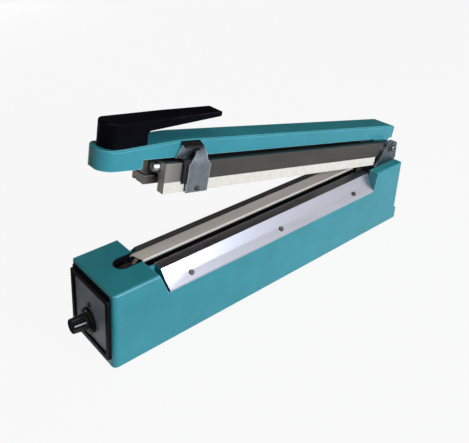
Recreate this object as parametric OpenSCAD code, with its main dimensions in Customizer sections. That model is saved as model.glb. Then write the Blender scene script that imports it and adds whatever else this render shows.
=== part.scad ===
// Hand-operated bag sealer: a cast base with a heated sealing bed, a sprung pressing arm
// with a sliding film cutter, and a timer knob on the front panel.
// Every piece is drawn with the arm closed, then the arm pieces are swung open.

/* [Body] */
// Width of the base body across its sides
body_w = 80; // [78:1:90]
// Height of the body from its lower edge to the tops of its end blocks
body_h = 82; // [80:0.5:88]
// Wall of the casting
wall = 3; // [2.5:0.25:3.5]
// Length of the front block's top
front_block = 50; // [48:1:60]
// Length of the rear block's top
rear_block = 50.5; // [50:0.5:60]
// Working length of the seal
seal_len = 300; // [240:10:400]
// How far the panel's lower edge stands in front of its upper edge
panel_lean = 9; // [6:0.5:11]
// Radius along the top edges
edge_r = 3; // [1.5:0.5:4]
// Radius of the upright corners
corner_r = 6; // [3:0.5:8]
// How far the heel stands out behind the rear face
heel_out = 4; // [2:0.5:6]
// Height of the heel
heel_h = 10; // [7:0.5:14]

/* [Sealing bed] */
// Distance from the bed's floor to the block tops
bed_depth = 14; // [13:0.5:15]
// Width of the trough in the bed
trough_w = 26.8; // [26:0.2:28]
// Width of the seal bar
seal_bar_w = 15.2; // [14:0.2:16]
// Width of the slot in the front block
slot_w = 18; // [14:0.5:20]
// Reach of that slot into the front block
slot_len = 25; // [23:0.5:28]
// Width of the heating ribbon
ribbon_w = 5; // [4.5:0.5:8]
// Thickness of the heating ribbon
ribbon_t = 0.3; // [0.2:0.05:0.4]
// Thickness of the insulating strip under the ribbon
insulation_t = 0.6; // [0.4:0.1:0.8]
// Thickness of the release cover
cover_t = 0.3; // [0.2:0.05:0.4]
// Thickness of the side strips' sheet
strip_t = 1.2; // [1:0.1:1.5]
// Drop from the block tops to the side strips' flat flanges
flange_drop = 4.6; // [4.2:0.1:5]
// Width of the far strip's flat flange
flange_w = 8.9; // [8:0.1:9.5]
// Width of the near strip's flange, which backs the clamping rubber
near_flange_w = 12.4; // [11.4:0.1:12.6]

/* [Arm] */
// Angle by which the arm stands open
arm_open = 12.7; // [8:0.1:14]
// Height of the arm's pivot above the block tops
pivot_rise = 17.6; // [17:0.1:19]
// Distance of the pivot from the rear face
pivot_inset = 9.9; // [9.5:0.1:10.5]
// Width of the beam
beam_w = 32; // [31:0.5:34]
// Height of the beam's sides
beam_h = 15.7; // [14:0.1:18]
// Height of the beam's front paddle
paddle_h = 18.1; // [16:0.1:20]
// Drop of the beam's top from its straight run to the paddle
paddle_drop = 6.2; // [4:0.1:7]
// Length of the paddle
paddle_len = 41.5; // [40:0.5:46]
// Thickness of the beam's roof
beam_roof = 5; // [4:0.25:6]
// Width of the pressing bar's foot
press_w = 19; // [17:0.5:19]
// Height of the pressing bar's foot
press_foot_h = 8.4; // [7:0.1:9]
// How far the sealing rubber stands out of the pressing bar
press_rubber_out = 1.2; // [1:0.1:2]

/* [Cutter rail] */
// Width of the cutter rail
rail_w = 10; // [9:0.2:10]
// Height of the cutter rail
rail_h = 18; // [16:0.5:20]
// Gap between the pressing bar and the rail, where the blade runs
blade_gap = 4.5; // [4.3:0.1:5]
// Height of the white clamping rubber under the rail
clamp_rubber_h = 10.9; // [9:0.1:12]
// Gap between the rail's top and the beam
rail_gap = 2.7; // [2.6:0.1:4]

/* [Cutter] */
// Length of the saddle plate along the rail
saddle_len = 25; // [22:0.5:28]
// Thickness of the saddle's sheet
saddle_t = 1.5; // [1.2:0.1:1.6]
// Length of the guide shoe
shoe_len = 28; // [26:0.5:32]
// Thickness of the blade
blade_t = 0.6; // [0.4:0.1:0.7]
// Depth of the blade's point below the clamping rubber
blade_reach = 5.4; // [3:0.1:6]

/* [Handle] */
// Width of the handle
handle_w = 27; // [24:0.5:29]
// Overall length of the handle
handle_len = 124; // [110:0.5:140]
// Length of the handle's block
handle_block = 40.5; // [38:0.5:44]
// Height of the handle's front above the paddle
handle_front_h = 21.4; // [19:0.2:26]
// Rise of the handle's top from its front to its tail
handle_rise = 8.4; // [5:0.2:10]
// Height of the finger gap at its root
finger_gap = 12; // [10:0.2:14]

/* [Hinge] */
// Diameter of the hinge pin
pin_d = 8; // [7:0.5:8]
// Thickness of the hinge bracket's sheet
bracket_t = 2.5; // [2:0.1:2.5]
// Wire of the return spring
spring_wire = 1.6; // [1.2:0.1:1.6]
// Whole turns of the return spring
spring_turns = 4; // [2:1:4]

/* [Front panel] */
// Distance of the black frame from the body's sides
bezel_inset = 4; // [4:0.5:8]
// Width of the frame's rails
bezel_rail = 5; // [4:0.5:7]
// How far the frame stands out
bezel_out = 3.2; // [2.4:0.2:4]
// Thickness of the dial plate
dial_t = 1.2; // [0.8:0.1:1.6]
// Height of the timer knob's axis up the panel
knob_up = 32; // [28:0.5:36]
// Offset of the timer knob towards the far side
knob_side = 3; // [0:0.5:5]
// Diameter of the knob's skirt
skirt_d = 26.6; // [22:0.2:30]
// Diameter of the knob's grip
grip_d = 17; // [16.5:0.25:19]
// Height of the knob above the dial plate
knob_h = 19.5; // [16:0.5:24]

/* [Feet] */
// Height of a rubber foot below the body's lower edge
foot_h = 4; // [3:0.5:6]
// Diameter of a rubber foot
foot_d = 16; // [14:0.5:20]

/* [Fits] */
// Gap between pieces that pass each other
pass_gap = 0.3; // [0.3:0.05:0.5]
// Radial play of a shaft that turns in its bore
run_play = 0.05; // [0.03:0.01:0.08]
// Film and cover left between the closed jaws
film_gap = 0.3; // [0.2:0.05:0.5]

/* [Hidden] */
$fn = 48;

// Slack by which a cutting shape runs past what it cuts
over = 1;
// Play around a screw in its hole
screw_play = 0.1;

// Plan of the body
half_w = body_w / 2;
bed_len = seal_len + 21;
recess_x0 = front_block;
recess_x1 = front_block + bed_len;
body_len = recess_x1 + rear_block;
body_mid = body_len / 2;
heel_x = body_len + heel_out;
heel_slope = 5;
low_r = 1.5;
panel_tilt = atan(panel_lean / body_h);

// Sealing bed, from the floor up
trough_z = body_h - bed_depth;
trough_half = trough_w / 2;
flange_z = body_h - flange_drop;
fold_y = trough_half + flange_w;
strip_low_z = flange_z - (half_w - fold_y);
ledge_z = strip_low_z - strip_t * sqrt(2);
near_fold_y = trough_half + near_flange_w;
lip_w = 7.5;
knee_y = half_w - lip_w;
knee_z = strip_low_z + lip_w;
strip_bed_z = flange_z - strip_t;
recess_lean = 8;
recess_lean_rear = 5;
strip_x0 = recess_x0 + 10;
ridge_x0 = strip_x0 + 2;
ridge_x1 = recess_x1 - recess_lean_rear;
strip_end_gap = 0.6;
seal_x0 = recess_x0 + 2;
seal_x1 = recess_x1 - 4;
cover_top_z = body_h - film_gap;
ribbon_z = cover_top_z - cover_t - 0.1 - ribbon_t;
seal_bar_top = ribbon_z - insulation_t;
slot_x0 = front_block - slot_len;
trough_x0 = slot_x0 - over;

// Closed heights of the arm pieces
pivot_x = body_len - pivot_inset;
pivot_z = body_h + pivot_rise;
clamp_low_z = flange_z + film_gap;
rail_low_z = clamp_low_z + clamp_rubber_h;
rail_top_z = rail_low_z + rail_h;
beam_low_z = rail_top_z + rail_gap;
beam_top_z = beam_low_z + beam_h;
paddle_top_z = beam_top_z - paddle_drop;
paddle_low_z = paddle_top_z - paddle_h;
roof_z = beam_top_z - beam_roof;
press_low_z = cover_top_z + film_gap;
foot_low_z = press_low_z + press_rubber_out;
foot_top_z = foot_low_z + press_foot_h;

// Closed positions of the arm pieces along the body
beam_front_x = 5;
beam_rear_x = pivot_x + 11.5;
beam_rear_r = 6;
paddle_x1 = beam_front_x + paddle_len;
droop_x0 = beam_front_x + 17;
droop_x1 = droop_x0 + 62;
press_x0 = front_block + 3.6;
press_x1 = recess_x1 + 0.6;
rail_x0 = front_block + 15.6;
rail_x1 = pivot_x - 12;
rail_y1 = -press_w / 2 - blade_gap;
rail_y0 = rail_y1 - rail_w;
clamp_x1 = recess_x1 + 14;
web_half = 4;
beam_half = beam_w / 2;
beam_wall = 3;
channel_front_x = paddle_x1 + 3;
lug_half = 12;
lug_r = 10;
bush_wall = 1.5;
spacer_x1 = rail_x0 + 12;

// Hinge bracket and the channel in the rear block that takes it
cheek_in = -rail_y0 + 0.6;
cheek_out = cheek_in + bracket_t;
channel_half = cheek_out + pass_gap;
channel_x1 = body_len - 7.5;
bracket_x0 = recess_x1 + 10;
bracket_x1 = channel_x1 - 1.5;
cheek_top_z = pivot_z + 12.9;

// Switch pin, which also stops the open arm at the front end of its slot
switch_pin_d = 6;
switch_pin_x = pivot_x - 15;
switch_pin_low_z = trough_z - wall - pass_gap * 10;
pin_slot_half = switch_pin_d / 2 + 0.5;
pin_tip = [switch_pin_x - pivot_x, switch_pin_low_z - pivot_z];
pin_tip_open_x = pivot_x + pin_tip.x * cos(arm_open) + pin_tip.y * sin(arm_open);
pin_slot_x0 = pin_tip_open_x - switch_pin_d / 2 * cos(arm_open) - 0.4;
pin_slot_x1 = switch_pin_x + switch_pin_d / 2 + 0.5;

// Cutter at the front end of its travel
saddle_x0 = spacer_x1 + 11;
shoe_x0 = saddle_x0 - 4.5;
saddle_x1 = saddle_x0 + saddle_len;
shoe_leg = 1.8;
shoe_out_y = rail_y0 - pass_gap - shoe_leg;
shoe_in_y = rail_y1 + pass_gap + shoe_leg;
saddle_out_y = shoe_out_y - saddle_t;
saddle_low_z = clamp_low_z - 0.1;

// Handle
handle_x0 = beam_front_x + 6;
handle_x1 = handle_x0 + handle_len;
handle_block_x1 = handle_x0 + handle_block;
handle_half = handle_w / 2;
handle_bow = 10.5;
handle_top_z = paddle_top_z + handle_front_h;
handle_tail_z = handle_top_z + handle_rise;
tail_half = 10;
tail_t = 4.5;

// Front panel, measured up the panel and out of its face
bezel_low = 8;
bezel_top = body_h / cos(panel_tilt) - 6;
bezel_half = half_w - bezel_inset;
plate_play = 0.2;
shaft_d = 6;
knob_base = dial_t + 0.5;
knob_top = dial_t + knob_h;
knob_edge_r = 1.2;
lamp_up = knob_up + 18;
lamp_d = 5;
pot_depth = 12;
board_t = 1.6;

// Bottom closure and feet
plate_z = 1;
plate_t = 1.5;
plate_top = plate_z + plate_t;
boss_d = 9;
boss_h = 18;
boss_y = half_w - wall - 3.5;
boss_xs = [26, body_mid - 15, body_len - 14];
foot_x0 = 20;
foot_xs = [foot_x0, body_len - foot_x0];
foot_y = half_w - 20;

// Transformer standing on the bottom plate
core_x = body_mid + 62;
core_w = 72;
core_h = 48;
core_t = 40;
core_leg = 24;
core_window = 12;

// Origin under the middle of the part as it stands open
knob_front_x = -panel_lean + (knob_up - grip_d / 2 + knob_edge_r) * sin(panel_tilt)
    - (knob_top - knob_edge_r) * cos(panel_tilt) - knob_edge_r;
arm_back_x = pivot_x + (beam_rear_x - pivot_x - beam_rear_r) * cos(arm_open)
    + (beam_top_z - pivot_z - beam_rear_r) * sin(arm_open) + beam_rear_r;
origin_x = (knob_front_x + max(heel_x, arm_back_x)) / 2;

function unit(v) = v / norm(v);
function flat(p) = [p.x, p.y];
function face_x(z) = -panel_lean * (1 - z / body_h);

// Arc that rounds the corner b between a and c
function corner_arc(a, b, c, r, n) =
    let (u = unit(a - b), v = unit(c - b), half = acos(u * v) / 2,
         m = b + unit(u + v) * r / sin(half),
         p = b + u * r / tan(half) - m, q = b + v * r / tan(half) - m,
         t0 = atan2(p.y, p.x), turn = (atan2(q.y, q.x) - t0 + 540) % 360 - 180)
    [for (i = [0:n]) m + r * [cos(t0 + turn * i / n), sin(t0 + turn * i / n)]];

// Outline through points [x, y, corner radius]
function rounded(pts, n = 6) =
    let (k = len(pts))
    [for (i = [0:k - 1]) each pts[i].z > 0
        ? corner_arc(flat(pts[(i + k - 1) % k]), flat(pts[i]), flat(pts[(i + 1) % k]), pts[i].z, n)
        : [flat(pts[i])]];

module placed() {
    translate([-origin_x, 0, foot_h]) children();
}

// The arm's closed frame, swung open about the pivot
module on_arm() {
    placed() translate([pivot_x, 0, pivot_z]) rotate([0, arm_open, 0])
        translate([-pivot_x, 0, -pivot_z]) children();
}

// The panel's own frame: up the panel, across it, and out of it
module on_panel() {
    placed() in_panel() children();
}
module in_panel() {
    translate([-panel_lean, 0, 0]) rotate([0, panel_tilt - 90, 0]) children();
}

module box(low, high) {
    translate(low) cube(high - low);
}
// Outline in X and Z, drawn out across Y
module across(y0, y1) {
    translate([0, y1, 0]) rotate([90, 0, 0]) linear_extrude(height = y1 - y0) children();
}
// Outline in Y and Z, drawn out along X
module along(x0, x1) {
    translate([x0, 0, 0]) rotate([90, 0, 90]) linear_extrude(height = x1 - x0) children();
}
module rod_y(x, z, d, y0, y1) {
    translate([x, y0, z]) rotate([-90, 0, 0]) cylinder(d = d, h = y1 - y0);
}
module rod_z(x, y, d, z0, z1) {
    translate([x, y, z0]) cylinder(d = d, h = z1 - z0);
}
module rod_x(y, z, d, x0, x1) {
    translate([x0, y, z]) rotate([0, 90, 0]) cylinder(d = d, h = x1 - x0);
}
// Slotted pan-head screw pointing down, its head standing on z = 0
module pan_screw(d, length, head_d, head_h) {
    difference() {
        cylinder(d1 = head_d, d2 = head_d * 0.8, h = head_h);
        translate([-head_d, -head_d * 0.06, head_h * 0.55]) cube([2 * head_d, head_d * 0.12, head_h]);
    }
    translate([0, 0, -length]) cylinder(d = d, h = length + 0.01);
}

// Sheet of thickness t laid on the left of a polyline
function left_of(a, b) = let (d = unit(b - a)) [-d.y, d.x];
function sheet(pts, t) =
    let (k = len(pts) - 1,
         inner = [for (i = [k:-1:0])
            let (n0 = left_of(pts[max(i - 1, 0)], pts[max(i, 1)]),
                 n1 = left_of(pts[min(i, k - 1)], pts[min(i + 1, k)]))
            pts[i] + (n0 + n1) * t / (1 + n0 * n1)])
    concat(pts, inner);

// Base casting
module body_blank() {
    intersection() {
        across(-half_w, half_w) polygon(rounded([
            [0, body_h, edge_r], [-panel_lean, 0, low_r], [body_len, 0, 0], [body_len, body_h, edge_r]]));
        along(-panel_lean - over, body_len + over) polygon(rounded([
            [-half_w, -over, 0], [half_w, -over, 0],
            [half_w, body_h, edge_r], [-half_w, body_h, edge_r]]));
        translate([-panel_lean, 0, 0]) rotate([0, panel_tilt, 0]) translate([0, 0, -body_h])
            linear_extrude(height = 3 * body_h) polygon(rounded([
                [0, -half_w, corner_r], [2 * body_len, -half_w, 0],
                [2 * body_len, half_w, 0], [0, half_w, corner_r]]));
        rear_corners(body_len, body_h + over);
    }
    intersection() {
        across(-half_w, half_w) polygon(rounded([
            [body_len - rear_block, 0, 0], [heel_x, 0, low_r], [heel_x, heel_h, heel_out * 0.8],
            [body_len, heel_h + heel_slope, 0], [body_len - rear_block, heel_h + heel_slope, 0]]));
        rear_corners(heel_x, heel_h + heel_slope + over);
    }
}
module rear_corners(x, top) {
    translate([0, 0, -over]) linear_extrude(height = top + over) polygon(rounded([
        [-2 * panel_lean, -half_w, 0], [x, -half_w, corner_r],
        [x, half_w, corner_r], [-2 * panel_lean, half_w, 0]]));
}
module inner_blank() {
    front = wall / cos(panel_tilt);
    across(-half_w + wall, half_w - wall) polygon([
        [face_x(body_h - wall) + front, body_h - wall], [face_x(-over) + front, -over],
        [body_len - wall, -over], [body_len - wall, body_h - wall]]);
}
// Side-view notch between the end blocks, grown by g
module notch(g) {
    across(-half_w - over, half_w + over) polygon([
        [recess_x0 - g, body_h + over], [recess_x0 - g, body_h],
        [recess_x0 + recess_lean - g, ledge_z - g], [recess_x1 - recess_lean_rear + g, ledge_z - g],
        [recess_x1 + g, body_h], [recess_x1 + g, body_h + over]]);
}
// Underside of a side strip whose flange ends at this fold, at a depth below its face, from the lip inwards
function mitre(p, a, b, t) = p + t * (a + b) / (1 + a * b);
function strip_bed(fold, t) =
    let (web_turn = atan2(flange_z - knee_z, knee_y - fold))
    let (flat = [0, -1], web = -[sin(web_turn), cos(web_turn)], lip = -[sin(45), cos(45)])
    [[half_w, strip_low_z - t * sqrt(2)], mitre([knee_y, knee_z], web, lip, t),
        mitre([fold, flange_z], flat, web, t), [trough_half, flange_z - t]];
// Ridge that carries the side strips, sunk by d
module ridge(x0, x1, d) {
    foot_z = ledge_z - 4 * wall;
    near = strip_bed(near_fold_y, strip_t + d);
    far = strip_bed(fold_y, strip_t + d);
    along(x0, x1) polygon([
        [-half_w - over, foot_z], [half_w + over, foot_z], [half_w + over, far[0].y - over], far[2],
        [-near[2].x, near[2].y], [-near[1].x, near[1].y], [-half_w - over, near[0].y - over]]);
}
module on_slope(x, side) {
    y = half_w - 5;
    translate([x, side * y, flange_z - (y - fold_y)]) rotate([-side * 45, 0, 0]) children();
}
strip_screw_inset = 29;
strip_screw_xs = [for (i = [0:2]) strip_x0 + strip_screw_inset
    + i * (seal_len + 2 - 2 * strip_screw_inset) / 2];
strip_screw_d = 3;
module strip_screw_holes() {
    for (x = strip_screw_xs, side = [-1, 1])
        on_slope(x, side) translate([0, 0, -2 * wall - strip_t])
            cylinder(d = strip_screw_d + 2 * screw_play, h = 4 * wall);
}
seal_screw_xs = [seal_x0 + 40, (seal_x0 + seal_x1) / 2, seal_x1 - 40];
bracket_screw_xs = [bracket_x0 + 4, bracket_x1 - 5];
bracket_screw_y = 18;
fix_d = 4;
module floor_holes(z0, z1) {
    for (x = seal_screw_xs) rod_z(x, 0, fix_d + 2 * screw_play, z0, z1);
    for (x = bracket_screw_xs, side = [-1, 1])
        rod_z(x, side * bracket_screw_y, fix_d + 2 * screw_play, z0, z1);
}
module pin_slot(z0, z1) {
    for (x = [pin_slot_x0 + pin_slot_half, pin_slot_x1 - pin_slot_half])
        rod_z(x, 0, 2 * pin_slot_half, z0, z1);
    box([pin_slot_x0 + pin_slot_half, -pin_slot_half, z0],
        [pin_slot_x1 - pin_slot_half, pin_slot_half, z1]);
}
plate_screw_d = 3.5;
cord_z = 26;
cord_hole_d = 12.4;
bushing_d = 9;
module base_housing() {
    color("#4f98ab") difference() {
        union() {
            difference() {
                body_blank();
                inner_blank();
            }
            intersection() {
                body_blank();
                inner_walls();
            }
        }
        difference() {
            notch(0);
            ridge(ridge_x0, recess_x1 + over, 0);
            box([recess_x0 - over, -trough_half - wall, ledge_z - over],
                [recess_x1 + over, trough_half + wall, strip_bed_z]);
        }
        box([trough_x0, -trough_half, trough_z], [recess_x0 + over, trough_half, body_h - wall]);
        box([recess_x0, -trough_half, trough_z], [channel_x1, trough_half, body_h + over]);
        box([recess_x1 - recess_lean_rear, -channel_half, trough_z],
            [channel_x1, channel_half, body_h + over]);
        rod_z(slot_x0 + slot_w / 2, 0, slot_w, trough_z, body_h + over);
        box([slot_x0 + slot_w / 2, -slot_w / 2, trough_z],
            [recess_x0 + over, slot_w / 2, body_h + over]);
        strip_screw_holes();
        floor_holes(trough_z - wall - over, trough_z + over);
        pin_slot(trough_z - wall - over, trough_z + over);
        for (x = boss_xs, side = [-1, 1])
            rod_z(x, side * boss_y, plate_screw_d + 2 * screw_play, plate_z - over, boss_h - wall);
        in_panel() rod_z(knob_up, knob_side, bushing_d + 2 * screw_play, -wall - over, over);
        in_panel() rod_z(lamp_up, knob_side, lamp_d + 2 * screw_play, -wall - over, over);
        rod_x(0, cord_z, cord_hole_d, body_len - wall - over, body_len + over);
    }
}
module inner_walls() {
    difference() {
        notch(wall);
        ridge(ridge_x0 + wall, ridge_x1 - wall, wall);
    }
    box([trough_x0 - wall, -trough_half - wall, trough_z - wall],
        [channel_x1 + wall, trough_half + wall, strip_bed_z]);
    box([trough_x0 - wall, -trough_half - wall, trough_z - wall],
        [recess_x0 + wall, trough_half + wall, body_h]);
    box([recess_x1 - recess_lean_rear - wall, -channel_half - wall, trough_z - wall],
        [channel_x1 + wall, channel_half + wall, body_h]);
    for (x = boss_xs, side = [-1, 1]) rod_z(x, side * boss_y, boss_d, plate_top, boss_h);
}

// Bottom closure
frame_t = 1.2;
frame_ear = 12;
frame_screw_xs = [core_x - core_w / 2 - frame_t - frame_ear / 2, core_x + core_w / 2 + frame_t + frame_ear / 2];
module bottom_plate() {
    x0 = face_x(plate_z) + wall / cos(panel_tilt) + pass_gap;
    x1 = body_len - wall - pass_gap;
    y1 = half_w - wall - pass_gap;
    color("#8f9499") difference() {
        translate([0, 0, plate_z]) linear_extrude(height = plate_t)
            polygon(rounded([[x0, -y1, 2], [x1, -y1, 2], [x1, y1, 2], [x0, y1, 2]]));
        for (x = boss_xs, side = [-1, 1])
            rod_z(x, side * boss_y, plate_screw_d + 2 * screw_play, plate_z - over, plate_top + over);
        for (x = foot_xs, side = [-1, 1])
            rod_z(x, side * foot_y, fix_d + 2 * screw_play, plate_z - over, plate_top + over);
        for (x = frame_screw_xs) rod_z(x, 0, fix_d + 2 * screw_play, plate_z - over, plate_top + over);
    }
}
module bottom_plate_screws() {
    color("#b9bcc0") for (x = boss_xs, side = [-1, 1])
        translate([x, side * boss_y, plate_z]) rotate([180, 0, 0])
            pan_screw(plate_screw_d, 10, 7, 2);
}
foot_bore_h = 2.5;
module rubber_feet() {
    color("#1d1d1f") for (x = foot_xs, side = [-1, 1]) translate([x, side * foot_y, 0])
        rotate_extrude() polygon([
            [fix_d / 2 + screw_play, plate_z], [fix_d / 2 + screw_play, foot_bore_h - foot_h],
            [fix_d, foot_bore_h - foot_h], [fix_d, -foot_h], [foot_d / 2 - 1.5, -foot_h],
            [foot_d / 2 - 0.5, 1 - foot_h], [foot_d / 2, plate_z]]);
}
foot_nut_h = 3.2;
module foot_screws() {
    color("#b9bcc0") for (x = foot_xs, side = [-1, 1])
        translate([x, side * foot_y, foot_bore_h - foot_h]) rotate([180, 0, 0])
            pan_screw(fix_d, plate_top + foot_nut_h + 1 - foot_bore_h + foot_h, 7.4, 2);
}
module foot_nuts() {
    color("#b9bcc0") for (x = foot_xs, side = [-1, 1]) difference() {
        translate([x, side * foot_y, plate_top]) cylinder(d = 8.1, h = foot_nut_h, $fn = 6);
        rod_z(x, side * foot_y, fix_d + 2 * screw_play, plate_z, plate_top + foot_nut_h + over);
    }
}

// Front panel
module panel_outline(inset, r) {
    polygon(rounded([
        [bezel_low + inset, -bezel_half + inset, r], [bezel_top - inset, -bezel_half + inset, r],
        [bezel_top - inset, bezel_half - inset, r], [bezel_low + inset, bezel_half - inset, r]]));
}
bezel_lip = 1.5;
module front_bezel() {
    color("#15161c") difference() {
        linear_extrude(height = bezel_out) panel_outline(0, 4);
        translate([0, 0, -over]) linear_extrude(height = over + dial_t + plate_play)
            panel_outline(bezel_rail - bezel_lip, 2);
        linear_extrude(height = bezel_out + over) panel_outline(bezel_rail, 2);
    }
}
module dial_plate() {
    color("#5f656e") difference() {
        linear_extrude(height = dial_t) panel_outline(bezel_rail - bezel_lip + plate_play, 1.8);
        rod_z(knob_up, knob_side, bushing_d + 2 * screw_play, -over, dial_t + over);
        rod_z(lamp_up, knob_side, lamp_d + 2 * screw_play, -over, dial_t + over);
    }
}
pot_nut_h = 2.4;
bushing_top = dial_t + pot_nut_h + 0.5;
shaft_back = -wall - pot_depth / 2;
module timer_pot() {
    color("#7c8086") difference() {
        union() {
            rod_z(knob_up, knob_side, 2 * pot_depth, -wall - pot_depth, -wall);
            rod_z(knob_up, knob_side, bushing_d, -wall - over, bushing_top);
        }
        rod_z(knob_up, knob_side, shaft_d + 2 * run_play, shaft_back - 0.5, bushing_top + over);
    }
}
module timer_pot_nut() {
    color("#b9bcc0") difference() {
        translate([knob_up, knob_side, dial_t]) cylinder(d = 13.8, h = pot_nut_h, $fn = 6);
        rod_z(knob_up, knob_side, bushing_d + 2 * screw_play, 0, dial_t + pot_nut_h + over);
    }
}
shaft_top = dial_t + 13;
module timer_shaft() {
    color("#b9bcc0") rod_z(knob_up, knob_side, shaft_d, shaft_back, shaft_top);
}
module indicator_lamp() {
    dome_z = dial_t + 0.4;
    color("#8c1f1a") translate([lamp_up, knob_side, 0]) {
        translate([0, 0, -wall - 4]) cylinder(d = lamp_d, h = wall + 4 + dome_z);
        translate([0, 0, -wall - 1.2]) cylinder(d = lamp_d + 2, h = 1.2);
        translate([0, 0, dome_z]) intersection() {
            translate([0, 0, -lamp_d / 4]) sphere(d = lamp_d * sqrt(5) / 2);
            cylinder(d = lamp_d, h = lamp_d);
        }
    }
}
board_z = -wall - pot_depth - board_t;
board_half = bezel_half - 8;
module timer_board() {
    color("#2f6b45") box([bezel_low + 2, -board_half, board_z], [knob_up + 24, board_half, board_z + board_t]);
}
module board_components() {
    color("#26282c") {
        box([knob_up - 16, -20, board_z - 15], [knob_up - 4, 2, board_z]);
        for (i = [0:2]) rod_z(knob_up + 8, -18 + 13 * i, 9, board_z - 14, board_z);
        box([knob_up - 16, 8, board_z - 9], [knob_up - 6, 24, board_z]);
        rod_z(knob_up - 1, 18, 6, board_z - 10, board_z);
    }
}
skirt_h = 4;
nut_clear = bushing_top + 0.4;
grip_flutes = 20;
module timer_knob() {
    skirt_top = knob_base + skirt_h;
    grip_r = grip_d / 2;
    color("#141416") translate([knob_up, knob_side, 0]) difference() {
        rotate_extrude() polygon(rounded([
            [0, knob_top, 0], [0, nut_clear, 0], [grip_r - 0.5, nut_clear, 0], [grip_r - 0.5, knob_base, 0],
            [skirt_d / 2, knob_base, 0], [skirt_d / 2, knob_base + skirt_h * 0.6, 0.8],
            [grip_r + 2.5, skirt_top, 1], [grip_r + 0.4, skirt_top, 0.6], [grip_r, knob_top, knob_edge_r]]));
        translate([0, 0, nut_clear - over])
            cylinder(d = shaft_d + 2 * screw_play, h = shaft_top - nut_clear + 2 * over);
        for (i = [0:grip_flutes - 1]) rotate([0, 0, i * 360 / grip_flutes])
            translate([grip_r + 0.9, 0, skirt_top + 2]) cylinder(d = 2.6, h = knob_h);
    }
}

// Power and switching inside the base
module transformer_core() {
    window_h = core_h - core_leg;
    color("#4b4e52") difference() {
        box([core_x - core_w / 2, -core_t / 2, plate_top],
            [core_x + core_w / 2, core_t / 2, plate_top + core_h]);
        for (side = [-1, 1])
            translate([core_x + side * (core_leg + core_window) / 2, 0, plate_top + core_leg / 2])
                translate([-core_window / 2, -core_t, 0]) cube([core_window, 2 * core_t, window_h]);
    }
}
winding_out = 11.5;
module transformer_winding() {
    wx = core_leg / 2 + core_window - pass_gap;
    wy = core_t / 2 + winding_out;
    color("#a8672c") translate([core_x, 0, plate_top + core_leg / 2 + pass_gap])
        linear_extrude(height = core_h - core_leg - 2 * pass_gap) difference() {
            polygon(rounded([[-wx, -wy, 5], [wx, -wy, 5], [wx, wy, 5], [-wx, wy, 5]]));
            square([core_leg + 2 * plate_play, core_t + 2 * plate_play], center = true);
        }
}
module transformer_frame() {
    x0 = core_x - core_w / 2;
    x1 = core_x + core_w / 2;
    top = plate_top + core_h;
    half = core_t / 2 - 4;
    color("#9aa0a6") difference() {
        across(-half, half) polygon(sheet([
            [x0 - frame_t - frame_ear, plate_top + frame_t], [x0 - frame_t, plate_top + frame_t],
            [x0 - frame_t, top + frame_t], [x1 + frame_t, top + frame_t],
            [x1 + frame_t, plate_top + frame_t], [x1 + frame_t + frame_ear, plate_top + frame_t]], -frame_t));
        for (x = frame_screw_xs) rod_z(x, 0, fix_d + 2 * screw_play, plate_z, plate_top + frame_t + over);
    }
}
module transformer_screws() {
    color("#b9bcc0") for (x = frame_screw_xs) translate([x, 0, plate_top + frame_t])
        pan_screw(fix_d, frame_t + plate_t, 7.4, 2.2);
}
plunger_d = 4;
plunger_stroke = 1.2;
plunger_top = switch_pin_low_z - pass_gap + plunger_stroke;
switch_top = plunger_top - 2.4;
switch_half = 5.2;
switch_h = 16;
switch_x0 = switch_pin_x - 10;
switch_x1 = switch_x0 + 27;
switch_screw_xs = [switch_x0 + 3, switch_x1 - 3];
switch_screw_d = 2.9;
module microswitch() {
    color("#202124") difference() {
        box([switch_x0, -switch_half, switch_top - switch_h], [switch_x1, switch_half, switch_top]);
        rod_z(switch_pin_x, 0, plunger_d + 2 * run_play, switch_top - 5, switch_top + over);
        for (x = switch_screw_xs)
            rod_y(x, switch_top - switch_h + 4, switch_screw_d + 2 * screw_play,
                -switch_half - over, switch_half + over);
    }
}
module switch_plunger() {
    color("#a13a2a") rod_z(switch_pin_x, 0, plunger_d, switch_top - 5 + plunger_stroke + 0.5, plunger_top);
}
bracket_sheet = 1.5;
module switch_bracket() {
    low = switch_top - switch_h;
    color("#9aa0a6") difference() {
        along(switch_x0 + 1, switch_x1 - 1) polygon(sheet([
            [switch_half, low], [switch_half, trough_z - wall],
            [channel_half - 4, trough_z - wall]], -bracket_sheet));
        for (x = switch_screw_xs)
            rod_y(x, low + 4, switch_screw_d + 2 * screw_play, 0, channel_half);
        floor_holes(trough_z - wall - bracket_sheet - over, trough_z);
    }
}
module switch_screws() {
    color("#b9bcc0") for (x = switch_screw_xs)
        translate([x, -switch_half, switch_top - switch_h + 4]) rotate([90, 0, 0])
            pan_screw(switch_screw_d, 2 * switch_half + bracket_sheet + 2, 5.4, 1.8);
}
module cord_grommet() {
    color("#18181a") translate([body_len, 0, cord_z]) rotate([0, 90, 0]) rotate_extrude() polygon(rounded([
        [3.5, -wall - 2.2, 0.5], [8, -wall - 2.2, 0.8], [8, -wall, 0], [cord_hole_d / 2 - screw_play, -wall, 0],
        [cord_hole_d / 2 - screw_play, 0, 0], [8.5, 0, 0], [8, 2.4, 1], [3.5, 2.4, 0.8]]));
}

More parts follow.
